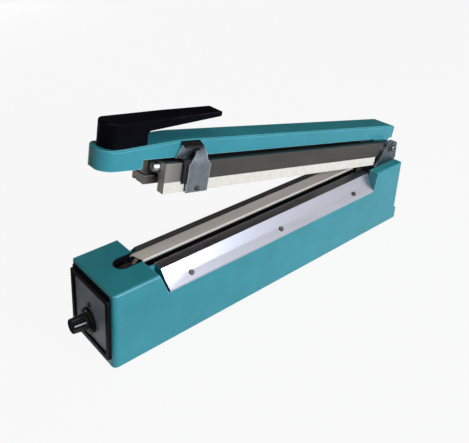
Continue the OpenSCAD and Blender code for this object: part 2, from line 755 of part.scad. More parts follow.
// Sealing bed
module seal_bar() {
    color("#2f2b28") difference() {
        box([seal_x0, -seal_bar_w / 2, trough_z], [seal_x1, seal_bar_w / 2, seal_bar_top]);
        floor_holes(trough_z - over, trough_z + 8);
    }
}
module seal_bar_screws() {
    color("#b9bcc0") for (x = seal_screw_xs) translate([x, 0, trough_z - wall]) rotate([180, 0, 0])
        pan_screw(fix_d, wall + 7, 7.4, 2.2);
}
module insulation_strip() {
    half = seal_bar_w / 2 - 1.6;
    color("#c9b48c") box([seal_x0, -half, seal_bar_top], [seal_x1, half, ribbon_z]);
}
block_z = trough_z + 6.5;
front_block_x = [slot_x0 + 3, slot_x0 + 19];
rear_block_x = [recess_x1 + 0.5, recess_x1 + 9.5];
terminal_t = 0.8;
block_half = 6.5;
module heating_ribbon() {
    z = block_z + terminal_t;
    color("#8c8479") difference() {
        across(-ribbon_w / 2, ribbon_w / 2) polygon(sheet([
            [front_block_x[0], z], [front_block_x[1], z], [seal_x0 - 1, ribbon_z],
            [seal_x1 + 1, ribbon_z], [rear_block_x[0] + 1, z], [rear_block_x[1], z]], ribbon_t));
        terminal_holes();
    }
}
cover_fold = 3;
module release_cover() {
    inner = seal_bar_w / 2 + 0.1;
    low = cover_top_z - cover_fold;
    color("#b9afa2") along(seal_x0 + 0.5, seal_x1 - 5) polygon(sheet([
        [-inner, low], [-inner, cover_top_z - cover_t],
        [inner, cover_top_z - cover_t], [inner, low]], cover_t));
}
module terminal_blocks() {
    color("#d8d2c2") difference() {
        for (x = [front_block_x, rear_block_x]) box([x[0], -block_half, trough_z], [x[1], block_half, block_z]);
        terminal_holes();
    }
}
terminal_d = 3;
terminal_xs = [front_block_x[0] + 5, rear_block_x[1] - 4];
module terminal_holes() {
    for (x = terminal_xs) rod_z(x, 0, terminal_d + 2 * screw_play, trough_z + 1, block_z + 3);
}
module terminal_plates() {
    color("#b8923e") difference() {
        for (x = [front_block_x, rear_block_x])
            box([x[0], -block_half + 1, block_z], [x[1], block_half - 1, block_z + terminal_t]);
        terminal_holes();
    }
}
module terminal_screws() {
    color("#b8923e") for (x = terminal_xs) translate([x, 0, block_z + terminal_t + ribbon_t])
        pan_screw(terminal_d, 6, 5.4, 1.6);
}
// Bent strip: flange, web and lip, with its rear end trimmed to the leaning wall
module strip(side) {
    fold = side < 0 ? near_fold_y : fold_y;
    face = [[trough_half, flange_z], [fold, flange_z], [knee_y, knee_z], [half_w, strip_low_z]];
    end_x = recess_x1 - strip_end_gap;
    lean = recess_lean_rear / (body_h - ledge_z);
    color("#c6c9cb") difference() {
        intersection() {
            along(strip_x0, recess_x1)
                polygon([for (p = concat(face, strip_bed(fold, strip_t))) [side * p.x, p.y]]);
            across(-half_w - over, half_w + over) polygon([
                [strip_x0 - over, ledge_z - over], [end_x - recess_lean_rear - over * lean, ledge_z - over],
                [end_x, body_h], [strip_x0 - over, body_h]]);
        }
        strip_screw_holes();
    }
}
module near_strip() {
    strip(-1);
}
module far_strip() {
    strip(1);
}
module strip_screws() {
    color("#b9bcc0") for (x = strip_screw_xs, side = [-1, 1]) on_slope(x, side)
        pan_screw(strip_screw_d, strip_t + wall + 1.5, 6, 1.8);
}

// Hinge
module hinge_bracket() {
    base_top = trough_z + bracket_t;
    color("#8f979c") difference() {
        union() {
            box([bracket_x0, -cheek_out, trough_z], [bracket_x1, cheek_out, base_top]);
            for (y = [-cheek_out, cheek_in]) across(y, y + bracket_t) polygon(rounded([
                [bracket_x0, trough_z, 0], [bracket_x1, trough_z, 0], [bracket_x1, body_h + 0.4, 0],
                [pivot_x + 9.4, body_h + 0.4, 3], [pivot_x + 8.9, pivot_z + 5.9, 5],
                [pivot_x - 5.6, cheek_top_z, 5], [bracket_x0, body_h + over, 4]]));
        }
        rod_y(pivot_x, pivot_z, pin_d + 2 * run_play, -cheek_out - over, cheek_out + over);
        floor_holes(trough_z - over, base_top + over);
        pin_slot(trough_z - over, base_top + over);
    }
}
module bracket_screws() {
    color("#b9bcc0") for (x = bracket_screw_xs, side = [-1, 1])
        translate([x, side * bracket_screw_y, trough_z + bracket_t])
            pan_screw(fix_d, bracket_t + wall + 3, 7.4, 2.2);
}
clip_t = 1;
clip_y = cheek_out + 0.1;
groove_r = pin_d / 2 - 1;
pin_end = clip_y + clip_t + 2;
module on_pivot() {
    translate([pivot_x, 0, pivot_z]) rotate([-90, 0, 0]) children();
}
module hinge_pin() {
    r = pin_d / 2;
    color("#9aa0a6") on_pivot() rotate_extrude() polygon([
        [0, -pin_end], [r - 0.6, -pin_end], [r, -pin_end + 0.6], [r, -clip_y - clip_t - 0.1],
        [groove_r, -clip_y - clip_t - 0.1], [groove_r, -clip_y + 0.05], [r, -clip_y + 0.05],
        [r, clip_y - 0.05], [groove_r, clip_y - 0.05], [groove_r, clip_y + clip_t + 0.1],
        [r, clip_y + clip_t + 0.1], [r, pin_end - 0.6], [r - 0.6, pin_end], [0, pin_end]]);
}
module pin_clips() {
    color("#55595e") on_pivot() for (y = [-clip_y - clip_t, clip_y]) translate([0, 0, y]) difference() {
        cylinder(r = pin_d / 2 + 2.6, h = clip_t);
        translate([0, 0, -over]) cylinder(r = groove_r + run_play, h = clip_t + 2 * over);
        translate([-groove_r * 0.7, 0, -over]) cube([groove_r * 1.4, pin_d, clip_t + 2 * over]);
    }
}
module hinge_spacer() {
    color("#8f979c") difference() {
        rod_y(pivot_x, pivot_z, pin_d + 5, -cheek_in + pass_gap, -lug_half - pass_gap);
        rod_y(pivot_x, pivot_z, pin_d + 2 * run_play, -cheek_in, -lug_half);
    }
}

// Return spring: one wire from the arm, round the pin, to the bracket's base
spring_r = beam_low_z - pivot_z - pass_gap - spring_wire / 2;
spring_y0 = lug_half + spring_wire;
spring_y1 = cheek_in - spring_wire / 2 - pass_gap - 0.2;
spring_phi0 = 90 - arm_open;
spring_sweep = 360 * spring_turns + 140 - arm_open;
spring_steps = ceil(spring_sweep / 45);
leg_a = 26;
phi_end = spring_phi0 - spring_sweep;
leg_end_z = trough_z + bracket_t + pass_gap + spring_wire / 2;
leg_b = (pivot_z + spring_r * sin(phi_end) - leg_end_z) / cos(phi_end);
function coil_point(phi, y) = [pivot_x + spring_r * cos(phi), y, pivot_z + spring_r * sin(phi)];
function coil_dir(phi) = [sin(phi), 0, -cos(phi)];
spring_path = concat(
    [for (t = [leg_a, leg_a / 2]) coil_point(spring_phi0, spring_y0) - t * coil_dir(spring_phi0)],
    [for (i = [0:spring_steps]) coil_point(spring_phi0 - spring_sweep * i / spring_steps,
        spring_y0 + (spring_y1 - spring_y0) * i / spring_steps)],
    [for (t = [leg_b / 2, leg_b]) coil_point(phi_end, spring_y1) + t * coil_dir(phi_end)]);
spring_phis = concat([spring_phi0, spring_phi0],
    [for (i = [0:spring_steps]) spring_phi0 - spring_sweep * i / spring_steps], [phi_end, phi_end]);
spring_sides = 6;
module return_spring() {
    n = len(spring_path);
    ring = [for (i = [0:n - 1], k = [0:spring_sides - 1])
        let (a = 360 * k / spring_sides, phi = spring_phis[i])
        spring_path[i] + spring_wire / 2 * [cos(a) * cos(phi), sin(a), cos(a) * sin(phi)]];
    sides = [for (i = [0:n - 2], k = [0:spring_sides - 1])
        let (a = i * spring_sides + k, b = i * spring_sides + (k + 1) % spring_sides)
        [a, b, b + spring_sides, a + spring_sides]];
    caps = [[for (k = [spring_sides - 1:-1:0]) k],
        [for (k = [0:spring_sides - 1]) (n - 1) * spring_sides + k]];
    color("#aeb3b8") polyhedron(points = ring, faces = concat(sides, caps), convexity = 10);
}
spring_least_gap = min([for (i = [0:len(spring_path) - 1], j = [i + 5:1:len(spring_path) - 1])
    norm(spring_path[i] - spring_path[j])]) - spring_wire;
echo(spring_least_gap = spring_least_gap);

// Arm
droop_slope = atan((beam_top_z - paddle_top_z) / (droop_x1 - droop_x0));
function beam_top(x) = paddle_top_z + min(max(x - droop_x0, 0), droop_x1 - droop_x0) * tan(droop_slope);
beam_edge = 1.8;
// Space under a ridge roof that slants off the top edges of a beam whose top lies at this height
module edge_roof(x0, x1, top) {
    y = beam_half + over;
    low = top - beam_edge - over;
    along(x0, x1) polygon([[-y, 0], [y, 0], [y, low], [0, low + y], [-y, low]]);
}
droop_r = 220;
// Side view of the beam, from which the handle's seat is cut too
module beam_side() {
    polygon(rounded([
        [beam_rear_x, beam_low_z, 1], [beam_rear_x, beam_top_z, beam_rear_r],
        [droop_x1, beam_top_z, droop_r], [droop_x0, paddle_top_z, droop_r],
        [beam_front_x, paddle_top_z, 2], [beam_front_x, paddle_low_z, 2],
        [paddle_x1, paddle_low_z, 3], [paddle_x1, beam_low_z, 0]]));
}
module beam_blank() {
    far = 2 * beam_rear_x;
    nose_r = beam_half - 0.2;
    intersection() {
        across(-beam_half - over, beam_half + over) beam_side();
        linear_extrude(height = 2 * beam_top_z) polygon(rounded([
            [beam_front_x - 0.01, -beam_half, nose_r], [beam_rear_x + 0.01, -beam_half, 3],
            [beam_rear_x + 0.01, beam_half, 3], [beam_front_x - 0.01, beam_half, nose_r]], 12));
        union() {
            edge_roof(-over + beam_front_x, droop_x0 + 20, paddle_top_z);
            intersection() {
                edge_roof(droop_x0, far, beam_top_z);
                translate([droop_x0, 0, paddle_top_z]) rotate([0, -droop_slope, 0])
                    translate([0, 0, -paddle_top_z]) edge_roof(-20, far, paddle_top_z);
            }
        }
    }
}
module under_roof(x0, x1, low) {
    polygon([[x0, low], [x0, beam_top(x0) - beam_roof], [droop_x1, roof_z], [x1, roof_z], [x1, low]]);
}
bush_d = pin_d + 2 * (run_play + bush_wall);
press_screw_xs = [for (i = [0:3]) press_x0 + 30 + i * (press_x1 - press_x0 - 60) / 3];
handle_screw_xs = [handle_x0 + 10, handle_x0 + 26];
handle_screw_d = 5;
handle_head_h = 3.5;
lug_low_z = pivot_z - lug_r + 1;
lug_x0 = pivot_x - 22;
rail_bolt_d = 4;
rail_bolt_front = [spacer_x1 - 3.6, pivot_z + 3];
rail_bolt_rear = [rail_x1 - 5, pivot_z];
module arm_beam() {
    color("#4f98ab") difference() {
        union() {
            difference() {
                beam_blank();
                across(-beam_half + beam_wall, beam_half - beam_wall)
                    under_roof(channel_front_x, lug_x0 - 2, beam_low_z - over);
            }
            across(-lug_half, lug_half) polygon(rounded([
                [lug_x0, lug_low_z, 2], [pivot_x + lug_r, lug_low_z, lug_r - 1.5],
                [pivot_x + lug_r, beam_low_z + over, 0], [lug_x0, beam_low_z + over, 0]]));
        }
        rod_y(pivot_x, pivot_z, bush_d + 2 * run_play, -lug_half - over, lug_half + over);
        for (x = press_screw_xs) rod_z(x, 0, fix_d + 2 * screw_play, beam_low_z, beam_top(x) - beam_roof + 3.5);
        for (x = handle_screw_xs) {
            rod_z(x, 0, handle_screw_d + 2 * screw_play, paddle_low_z - over, beam_top(x) + handle_screw_d);
            rod_z(x, 0, 2 * handle_screw_d, paddle_low_z - over, paddle_low_z + handle_head_h);
        }
        rod_y(rail_bolt_rear.x, rail_bolt_rear.y, rail_bolt_d + 2 * screw_play, -lug_half - over, 4 - lug_half);
        rod_z(switch_pin_x, 0, switch_pin_d + 2 * run_play, lug_low_z - over, lug_low_z + 7);
    }
}
module pivot_bush() {
    color("#b8923e") difference() {
        rod_y(pivot_x, pivot_z, bush_d, -lug_half, lug_half);
        rod_y(pivot_x, pivot_z, pin_d + 2 * run_play, -lug_half - over, lug_half + over);
    }
}
groove_half = press_w / 2 - 3.4;
groove_h = 2;
module pressing_bar() {
    head_z = foot_low_z + groove_h;
    color("#8b8580") difference() {
        union() {
            along(press_x0, press_x1) polygon(rounded([
                [-press_w / 2, foot_low_z, 0.4], [press_w / 2, foot_low_z, 0.4],
                [press_w / 2, foot_top_z, 0.8], [-press_w / 2, foot_top_z, 0.8]]));
            across(-web_half, web_half) under_roof(press_x0 + 2, press_x1, foot_top_z - over);
        }
        box([press_x0 - over, -groove_half, foot_low_z - over], [press_x1 + over, groove_half, head_z]);
        for (x = press_screw_xs) {
            rod_z(x, 0, fix_d + 2 * screw_play, foot_low_z, beam_top_z);
            rod_z(x, 0, 7.4, foot_low_z, head_z + 2.6);
        }
        rod_y(rail_bolt_front.x, rail_bolt_front.y, rail_bolt_d + 2 * screw_play,
            -web_half - over, web_half + over);
    }
}
module pressing_bar_screws() {
    head_z = foot_low_z + groove_h + 2.6;
    color("#b9bcc0") for (x = press_screw_xs) translate([x, 0, head_z]) rotate([180, 0, 0])
        pan_screw(fix_d, beam_top(x) - beam_roof + 3.2 - head_z, 7, 2.4);
}
module sealing_rubber() {
    color("#d9d5c8") box([press_x0 + 2, -groove_half + 0.1, press_low_z],
        [press_x1 - 1, groove_half - 0.1, foot_low_z + groove_h]);
}
tongue_half = 2;
tongue_h = 2.5;
rib_z = rail_low_z + rail_h / 2;
module cutter_rail() {
    mid = (rail_y0 + rail_y1) / 2;
    color("#7d7670") difference() {
        along(rail_x0, rail_x1) polygon(rounded([
            [rail_y0, rail_low_z, 0.3], [rail_y1, rail_low_z, 0.3],
            [rail_y1, rail_top_z, 0.8], [rail_y0, rail_top_z, 0.8]]));
        box([rail_x0 - over, mid - tongue_half, rail_low_z - over],
            [rail_x1 + over, mid + tongue_half, rail_low_z + tongue_h]);
        box([rail_x0 - over, rail_y1 - 1.6, rib_z - 1.9], [rail_x1 + over, rail_y1 + over, rib_z + 1.9]);
        rail_bolt_holes();
    }
}
module rail_bolt_holes() {
    rod_y(rail_bolt_front.x, rail_bolt_front.y, rail_bolt_d + 2 * screw_play, rail_y0 + 3, web_half + over);
    rod_y(rail_bolt_rear.x, rail_bolt_rear.y, rail_bolt_d + 2 * screw_play, rail_y0 - over, web_half);
    rod_y(rail_bolt_rear.x, rail_bolt_rear.y, 2 * rail_bolt_d, rail_y0 - over, rail_y0 + 3);
}
module clamping_rubber() {
    mid = (rail_y0 + rail_y1) / 2;
    color("#e8e8dc") {
        box([rail_x0, rail_y0 + 0.2, clamp_low_z], [clamp_x1, rail_y1 - 0.2, rail_low_z]);
        box([rail_x0, mid - tongue_half + 0.1, rail_low_z - over],
            [clamp_x1, mid + tongue_half - 0.1, rail_low_z + tongue_h - 0.1]);
    }
}
module rail_spacer() {
    color("#8f979c") difference() {
        union() {
            box([rail_x0, rail_y1, pivot_z - 6.5], [spacer_x1, -web_half, pivot_z + 6]);
            rod_y(rail_bolt_rear.x, rail_bolt_rear.y, 2 * rail_bolt_d, rail_y1, -lug_half);
        }
        rail_bolt_holes();
        rod_x(stop_y, stop_z, stop_d + 2 * screw_play, rail_x0 - over, rail_x0 + stop_len + screw_play);
    }
}
module rail_bolts() {
    head_h = 2.4;
    color("#b9bcc0") {
        rod_y(rail_bolt_front.x, rail_bolt_front.y, rail_bolt_d, rail_y0 + 3.5, web_half + over);
        rod_y(rail_bolt_front.x, rail_bolt_front.y, 7, web_half, web_half + 2.6);
        rod_y(rail_bolt_rear.x, rail_bolt_rear.y, rail_bolt_d, rail_y0 + 1, 3.6 - lug_half);
        rod_y(rail_bolt_rear.x, rail_bolt_rear.y, 2 * rail_bolt_d - 0.4, rail_y0 + 3 - head_h, rail_y0 + 3);
    }
}
stop_y = rail_y1 + 4.3;
stop_z = pivot_z;
stop_d = 4;
stop_len = 5.2;
module stop_screw() {
    color("#c3c7ca") translate([rail_x0, stop_y, stop_z]) rotate([0, -90, 0])
        pan_screw(stop_d, stop_len, 10.4, 4.5);
}
module switch_pin() {
    color("#9aa0a6") {
        rod_z(switch_pin_x, 0, switch_pin_d, switch_pin_low_z + 1, lug_low_z + 7);
        translate([switch_pin_x, 0, switch_pin_low_z])
            cylinder(d1 = switch_pin_d - 2, d2 = switch_pin_d, h = 1);
    }
}

// Handle
handle_edge = 2.5;
module handle() {
    root = [handle_block_x1 - 1.4, beam_top(handle_block_x1) + finger_gap];
    color("#17171a") difference() {
        intersection() {
            across(-handle_half - over, handle_half + over) polygon(rounded([
                [handle_x0, paddle_top_z - 2, 0], [handle_x0, handle_top_z, 4],
                [handle_x1, handle_tail_z, 2], [handle_x1 - 1, handle_tail_z - tail_t, 1.5],
                [root.x, root.y, 4], [handle_block_x1, paddle_top_z - 2, 0]]));
            linear_extrude(height = 2 * handle_tail_z) handle_plan();
            handle_top_edges();
        }
        across(-handle_half - over, handle_half + over) beam_side();
        for (x = handle_screw_xs)
            rod_z(x, 0, handle_screw_d + 2 * screw_play, paddle_top_z - over, paddle_top_z + 14);
    }
}
// Bowed front, straight flanks along the block, and a tail that narrows
module handle_plan() {
    bow_r = (handle_half * handle_half + handle_bow * handle_bow) / (2 * handle_bow);
    bow_turn = asin(handle_half / bow_r);
    shoulder = [handle_block_x1, handle_half];
    tip = [handle_x1 + 0.01, tail_half];
    polygon(concat(
        [for (i = [-8:8]) let (a = bow_turn * i / 8)
            [handle_x0 - 0.01 + bow_r * (1 - cos(a)), bow_r * sin(a)]],
        [shoulder], corner_arc(shoulder, tip, [tip.x, -tip.y], 4, 6),
        corner_arc(tip, [tip.x, -tip.y], [shoulder.x, -shoulder.y], 4, 6), [[shoulder.x, -shoulder.y]]));
}
// Prism along the rising top whose upper corners are rounded
module handle_top_edges() {
    y = handle_half + 0.01;
    translate([handle_x0, 0, handle_top_z]) rotate([0, -atan2(handle_rise, handle_len), 0])
        along(-handle_len, 2 * handle_len) polygon(rounded([
            [-y, -handle_top_z, 0], [y, -handle_top_z, 0], [y, 0.3, handle_edge], [-y, 0.3, handle_edge]]));
}
module handle_screws() {
    color("#b9bcc0") for (x = handle_screw_xs) translate([x, 0, paddle_low_z + handle_head_h])
        rotate([180, 0, 0]) pan_screw(handle_screw_d, paddle_h - handle_head_h + 12, 9, 3);
}

// Cutter, drawn at the front end of its travel
shoe_x1 = shoe_x0 + shoe_len;
shoe_top_z = rail_top_z + pass_gap + shoe_leg;
blade_low_z = clamp_low_z - blade_reach;
blade_screw = [shoe_x0 + shoe_len / 2, rail_low_z + 3];
saddle_screw = [saddle_x0 + saddle_len * 0.5, clamp_low_z + 3.5];
cutter_screw_d = 3;
module cutter_holes() {
    rod_y(blade_screw.x, blade_screw.y, cutter_screw_d + 2 * screw_play, rail_y1, 0);
    rod_y(saddle_screw.x, saddle_screw.y, cutter_screw_d + 2 * screw_play, saddle_out_y - over, rail_y0);
}
module cutter_shoe() {
    leg_low = rail_low_z - 2;
    color("#131315") difference() {
        union() {
            along(shoe_x0, shoe_x1) polygon([
                [shoe_out_y, leg_low], [rail_y0 - pass_gap, leg_low],
                [rail_y0 - pass_gap, rail_top_z + pass_gap],
                [rail_y1 + pass_gap, rail_top_z + pass_gap], [rail_y1 + pass_gap, rib_z + 1.5],
                [rail_y1 - 1.2, rib_z + 1.5], [rail_y1 - 1.2, rib_z - 1.5], [rail_y1 + pass_gap, rib_z - 1.5],
                [rail_y1 + pass_gap, leg_low], [shoe_in_y, leg_low], [shoe_in_y, shoe_top_z],
                [shoe_out_y + shoe_ease, shoe_top_z], [shoe_out_y, saddle_bend_z - pass_gap]]);
            box([saddle_x0 + over, shoe_out_y, saddle_low_z + over],
                [saddle_x1 - over, rail_y0 - pass_gap, rail_low_z]);
        }
        cutter_holes();
    }
}
flange_in_y = -beam_half - pass_gap;
saddle_bend_z = pivot_z + 5;
saddle_bend_r = 16;
// Corner of the shoe eased to clear the inside of the saddle's bend
shoe_rise = shoe_top_z - saddle_bend_z;
shoe_ease = shoe_rise * shoe_rise / (2 * (saddle_bend_r - saddle_t)) + pass_gap;
strap_tip = 2.2;
saddle_flange_z = beam_top_z - 3.6;
module cutter_saddle() {
    arc = [for (a = [0:10:60])
        [saddle_out_y + saddle_bend_r * (1 - cos(a)), saddle_bend_z + saddle_bend_r * sin(a)]];
    tip = arc[6] + strap_tip * [sin(60), cos(60)];
    strap_z = tip.y + over;
    color("#7f878c") difference() {
        union() {
            intersection() {
                along(saddle_x0, saddle_x1)
                    polygon(sheet(concat([[saddle_out_y, saddle_low_z]], arc, [tip]), -saddle_t));
                across(saddle_out_y - over, 0) polygon([
                    [saddle_x0, saddle_low_z - over], [saddle_x1, saddle_low_z - over],
                    [saddle_x1, saddle_bend_z],
                    [saddle_x1 - 4, saddle_bend_z + 4], [saddle_x1 - 4, strap_z],
                    [saddle_x1 - 11, strap_z], [saddle_x0, saddle_bend_z]]);
            }
            across(flange_in_y - saddle_t, flange_in_y) polygon(rounded([
                [saddle_x0 - 9, shoe_top_z, 0], [saddle_x1 - 2, shoe_top_z, 0],
                [saddle_x1 - 5, saddle_flange_z, 1], [saddle_x0 - 3, saddle_flange_z, 1]]));
        }
        cutter_holes();
    }
}
module cutter_grip() {
    out = flange_in_y - 7.6;
    color("#121214") along(saddle_x0 - 4, saddle_x0 + 17) polygon([
        [flange_in_y, saddle_flange_z], [flange_in_y, saddle_flange_z + 3.2], [out, saddle_flange_z],
        [out, saddle_flange_z - 2], [flange_in_y - saddle_t - 0.4, saddle_flange_z]]);
}
module cutter_blade() {
    x0 = blade_screw.x - 9;
    x1 = blade_screw.x + 9;
    color("#cfd4d8") difference() {
        across(shoe_in_y, shoe_in_y + blade_t) polygon([
            [x0, blade_screw.y + 6], [x0, blade_low_z + 7], [blade_screw.x, blade_low_z],
            [x1, blade_low_z + 7], [x1, blade_screw.y + 6]]);
        cutter_holes();
    }
}
module cutter_screws() {
    color("#b9bcc0") {
        translate([blade_screw.x, shoe_in_y + blade_t, blade_screw.y]) rotate([-90, 0, 0])
            pan_screw(cutter_screw_d, blade_t + shoe_leg, 5.4, 1.4);
        translate([saddle_screw.x, saddle_out_y, saddle_screw.y]) rotate([90, 0, 0])
            pan_screw(cutter_screw_d, saddle_t + shoe_leg, 5.4, 1.6);
    }
}

placed() base_housing();
placed() bottom_plate();
placed() bottom_plate_screws();
placed() rubber_feet();
placed() foot_screws();
placed() foot_nuts();
on_panel() front_bezel();
on_panel() dial_plate();
on_panel() timer_pot();
on_panel() timer_pot_nut();
on_panel() indicator_lamp();
on_panel() timer_board();
on_panel() board_components();
placed() transformer_core();
placed() transformer_winding();
placed() transformer_frame();
placed() transformer_screws();
placed() microswitch();
placed() switch_bracket();
placed() switch_screws();
placed() cord_grommet();
placed() seal_bar();
placed() seal_bar_screws();
placed() insulation_strip();
placed() heating_ribbon();
placed() release_cover();
placed() terminal_blocks();
placed() terminal_plates();
placed() terminal_screws();
placed() near_strip();
placed() far_strip();
placed() strip_screws();
placed() hinge_bracket();
placed() bracket_screws();
placed() hinge_pin();
placed() pin_clips();
placed() hinge_spacer();
placed() return_spring();
on_arm() arm_beam();
on_arm() pivot_bush();
on_arm() pressing_bar();
on_arm() pressing_bar_screws();
on_arm() sealing_rubber();
on_arm() cutter_rail();
on_arm() clamping_rubber();
on_arm() rail_spacer();
on_arm() rail_bolts();
on_arm() stop_screw();
on_arm() switch_pin();
on_arm() handle();
on_arm() handle_screws();
on_arm() cutter_shoe();
on_arm() cutter_saddle();
on_arm() cutter_grip();
on_arm() cutter_blade();
on_arm() cutter_screws();
on_panel() timer_knob();
on_panel() timer_shaft();
placed() switch_plunger();
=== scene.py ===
"""Looks of a hand-pressed bag sealer.
Finishes, softened edges, bed cloth, spring, knob, trim, dial marks, light and camera."""
import math

import bmesh
import bpy
from mathutils import Matrix, Vector


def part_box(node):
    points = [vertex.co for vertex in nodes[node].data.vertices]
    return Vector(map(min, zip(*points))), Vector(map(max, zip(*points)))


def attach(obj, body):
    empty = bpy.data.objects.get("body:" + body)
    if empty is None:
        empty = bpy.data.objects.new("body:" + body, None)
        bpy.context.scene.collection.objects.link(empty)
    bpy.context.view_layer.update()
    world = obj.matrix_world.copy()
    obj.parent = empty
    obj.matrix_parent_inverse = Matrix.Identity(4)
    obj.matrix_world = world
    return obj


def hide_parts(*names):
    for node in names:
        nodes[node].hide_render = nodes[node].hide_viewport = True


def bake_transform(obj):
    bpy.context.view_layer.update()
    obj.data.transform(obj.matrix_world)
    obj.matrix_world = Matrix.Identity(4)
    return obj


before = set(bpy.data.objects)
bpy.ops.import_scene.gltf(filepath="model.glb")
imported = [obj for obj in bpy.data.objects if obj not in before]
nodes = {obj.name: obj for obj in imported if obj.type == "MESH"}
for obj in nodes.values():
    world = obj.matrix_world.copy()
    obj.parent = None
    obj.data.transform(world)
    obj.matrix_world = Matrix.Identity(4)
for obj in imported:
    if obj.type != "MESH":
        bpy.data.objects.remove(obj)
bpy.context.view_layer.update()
scene = bpy.context.scene
scene.view_settings.view_transform = "Standard"

MM = 0.001
# The arm's angle in the photograph's pose, and the lean of the front panel
ARM_OPEN = math.radians(12.7)
PANEL_TILT = math.radians(6.26349)
# Shift from the part's drawing to the row frame, and the hinge pin's place in the drawing, in millimetres
ORIGIN_X, FOOT_H = 200.171, 4.0
PIVOT_X, PIVOT_Z = 411.6, 99.6
# The panel's own frame, from the foot of the leaning front: up the panel, across it, and out of its face
PANEL_FOOT_X = -9.0
PANEL = (Matrix.Translation(((PANEL_FOOT_X - ORIGIN_X) * MM, 0, FOOT_H * MM))
         @ Matrix.Rotation(PANEL_TILT - math.pi / 2, 4, "Y"))


# Material building blocks
def linear(hex_colour):
    """sRGB hex to the linear colour that a shader takes."""
    values = [int(hex_colour[i:i + 2], 16) / 255 for i in (1, 3, 5)]
    return [v / 12.92 if v <= 0.04045 else ((v + 0.055) / 1.055) ** 2.4 for v in values] + [1.0]


def mm(*sizes):
    """One size for all three axes, or one for each, from millimetres."""
    return [size * MM for size in (sizes * 3 if len(sizes) == 1 else sizes)]


def add(tree, kind, inputs=None, **fields):
    """Adds a node with its fields; an input that is another node's socket is linked, any other is set."""
    node = tree.nodes.new(kind)
    for key, value in fields.items():
        setattr(node, key, value)
    for key, value in (inputs or {}).items():
        if isinstance(value, bpy.types.NodeSocket):
            tree.links.new(value, node.inputs[key])
        else:
            node.inputs[key].default_value = value
    return node.outputs


def begin(name, **sockets):
    """A new material: its tree, its shader with the constant sockets set, and the object coordinates."""
    material = bpy.data.materials.new(name)
    material.use_nodes = True
    shader = material.node_tree.nodes["Principled BSDF"]
    for key, value in sockets.items():
        shader.inputs[key.replace("_", " ")].default_value = value
    place = add(material.node_tree, "ShaderNodeTexCoord")
    return material, material.node_tree, shader, place


def finish(tree, shader, **links):
    """Links sockets to the shader's inputs."""
    for key, socket in links.items():
        tree.links.new(socket, shader.inputs[key.replace("_", " ")])


def rubbed_edges(tree, colour, bare, reach_mm):
    """Lets a paler colour show close to every crisp edge: mostly a painted highlight where edges catch the
    light, partly a finish rubbed off by use.
    """
    # Agreement of the rounded and the true normal where the paler edge colour is full, and where it is absent
    gone, whole = 0.86, 0.985
    rounded = add(tree, "ShaderNodeBevel", {"Radius": reach_mm * MM}, samples=6)
    true = add(tree, "ShaderNodeNewGeometry")
    level = add(tree, "ShaderNodeVectorMath", {0: rounded[0], 1: true["Normal"]}, operation="DOT_PRODUCT")
    edge = add(tree, "ShaderNodeMapRange", {"Value": level["Value"], "From Min": gone, "From Max": whole,
                                            "To Min": 1, "To Max": 0})
    return add(tree, "ShaderNodeMix", {0: edge[0], 6: colour, 7: linear(bare)}, data_type="RGBA")


# Finishes
def enamel(name, tilt=0.0, pocket=None):
    """Stoved teal enamel on a casting: faint clouds in the colour, paler at the edges as a painted highlight,
    and an orange-peel skin that breaks the light.
    A given box, in millimetres by its middle and half its size, is painted near black: painted shade in a
    recess."""
    material, tree, shader, place = begin(name, Specular_IOR_Level=0.5)
    turn = {"Vector": place["Object"], "Rotation": (0, tilt, 0)}
    clouds_at = add(tree, "ShaderNodeMapping", {**turn, "Scale": mm(42)}, vector_type="TEXTURE")
    clouds = add(tree, "ShaderNodeTexNoise",
                 {"Vector": clouds_at[0], "Scale": 1, "Detail": 4, "Roughness": 0.6})
    shade = add(tree, "ShaderNodeMapRange", {"Value": clouds["Fac"], "From Min": 0.3, "From Max": 0.7})
    colour = add(tree, "ShaderNodeMix", {0: shade[0], 6: linear("#24828a"), 7: linear("#2c8e96")},
                 data_type="RGBA")
    # Painted highlight: paler teal along every crisp edge
    colour = rubbed_edges(tree, colour[2], "#80c2c9", reach_mm=1.4)
    # Painted shade: inside the box the colour turns near black
    if pocket:
        apart = add(tree, "ShaderNodeSeparateXYZ", {0: place["Object"]})
        within = [add(tree, "ShaderNodeMath", {0: apart[axis], 1: middle * MM, 2: half * MM},
                      operation="COMPARE") for axis, (middle, half) in enumerate(zip(*pocket))]
        level = add(tree, "ShaderNodeMath", {0: within[0][0], 1: within[1][0]}, operation="MULTIPLY")
        inside = add(tree, "ShaderNodeMath", {0: level[0], 1: within[2][0]}, operation="MULTIPLY")
        colour = add(tree, "ShaderNodeMix", {0: inside[0], 6: colour[2], 7: linear("#0b0d0e")},
                     data_type="RGBA")
    patches_at = add(tree, "ShaderNodeMapping", {**turn, "Scale": mm(12)}, vector_type="TEXTURE")
    patches = add(tree, "ShaderNodeTexNoise",
                  {"Vector": patches_at[0], "Scale": 1, "Detail": 2, "Roughness": 0.5})
    rough = add(tree, "ShaderNodeMapRange",
                {"Value": patches["Fac"], "From Min": 0.2, "From Max": 0.8, "To Min": 0.28, "To Max": 0.38})
    peel_at = add(tree, "ShaderNodeMapping", {**turn, "Scale": mm(2.6)}, vector_type="TEXTURE")
    peel = add(tree, "ShaderNodeTexNoise", {"Vector": peel_at[0], "Scale": 1, "Detail": 2, "Roughness": 0.4})
    skin = add(tree, "ShaderNodeBump", {"Height": peel["Fac"], "Distance": 0.016 * MM})
    flow_at = add(tree, "ShaderNodeMapping", {**turn, "Scale": mm(24)}, vector_type="TEXTURE")
    flow = add(tree, "ShaderNodeTexNoise", {"Vector": flow_at[0], "Scale": 1, "Detail": 2})
    normal = add(tree, "ShaderNodeBump", {"Height": flow["Fac"], "Distance": 0.05 * MM, "Normal": skin[0]})
    finish(tree, shader, Base_Color=colour[2], Roughness=rough[0], Normal=normal[0])
    return material


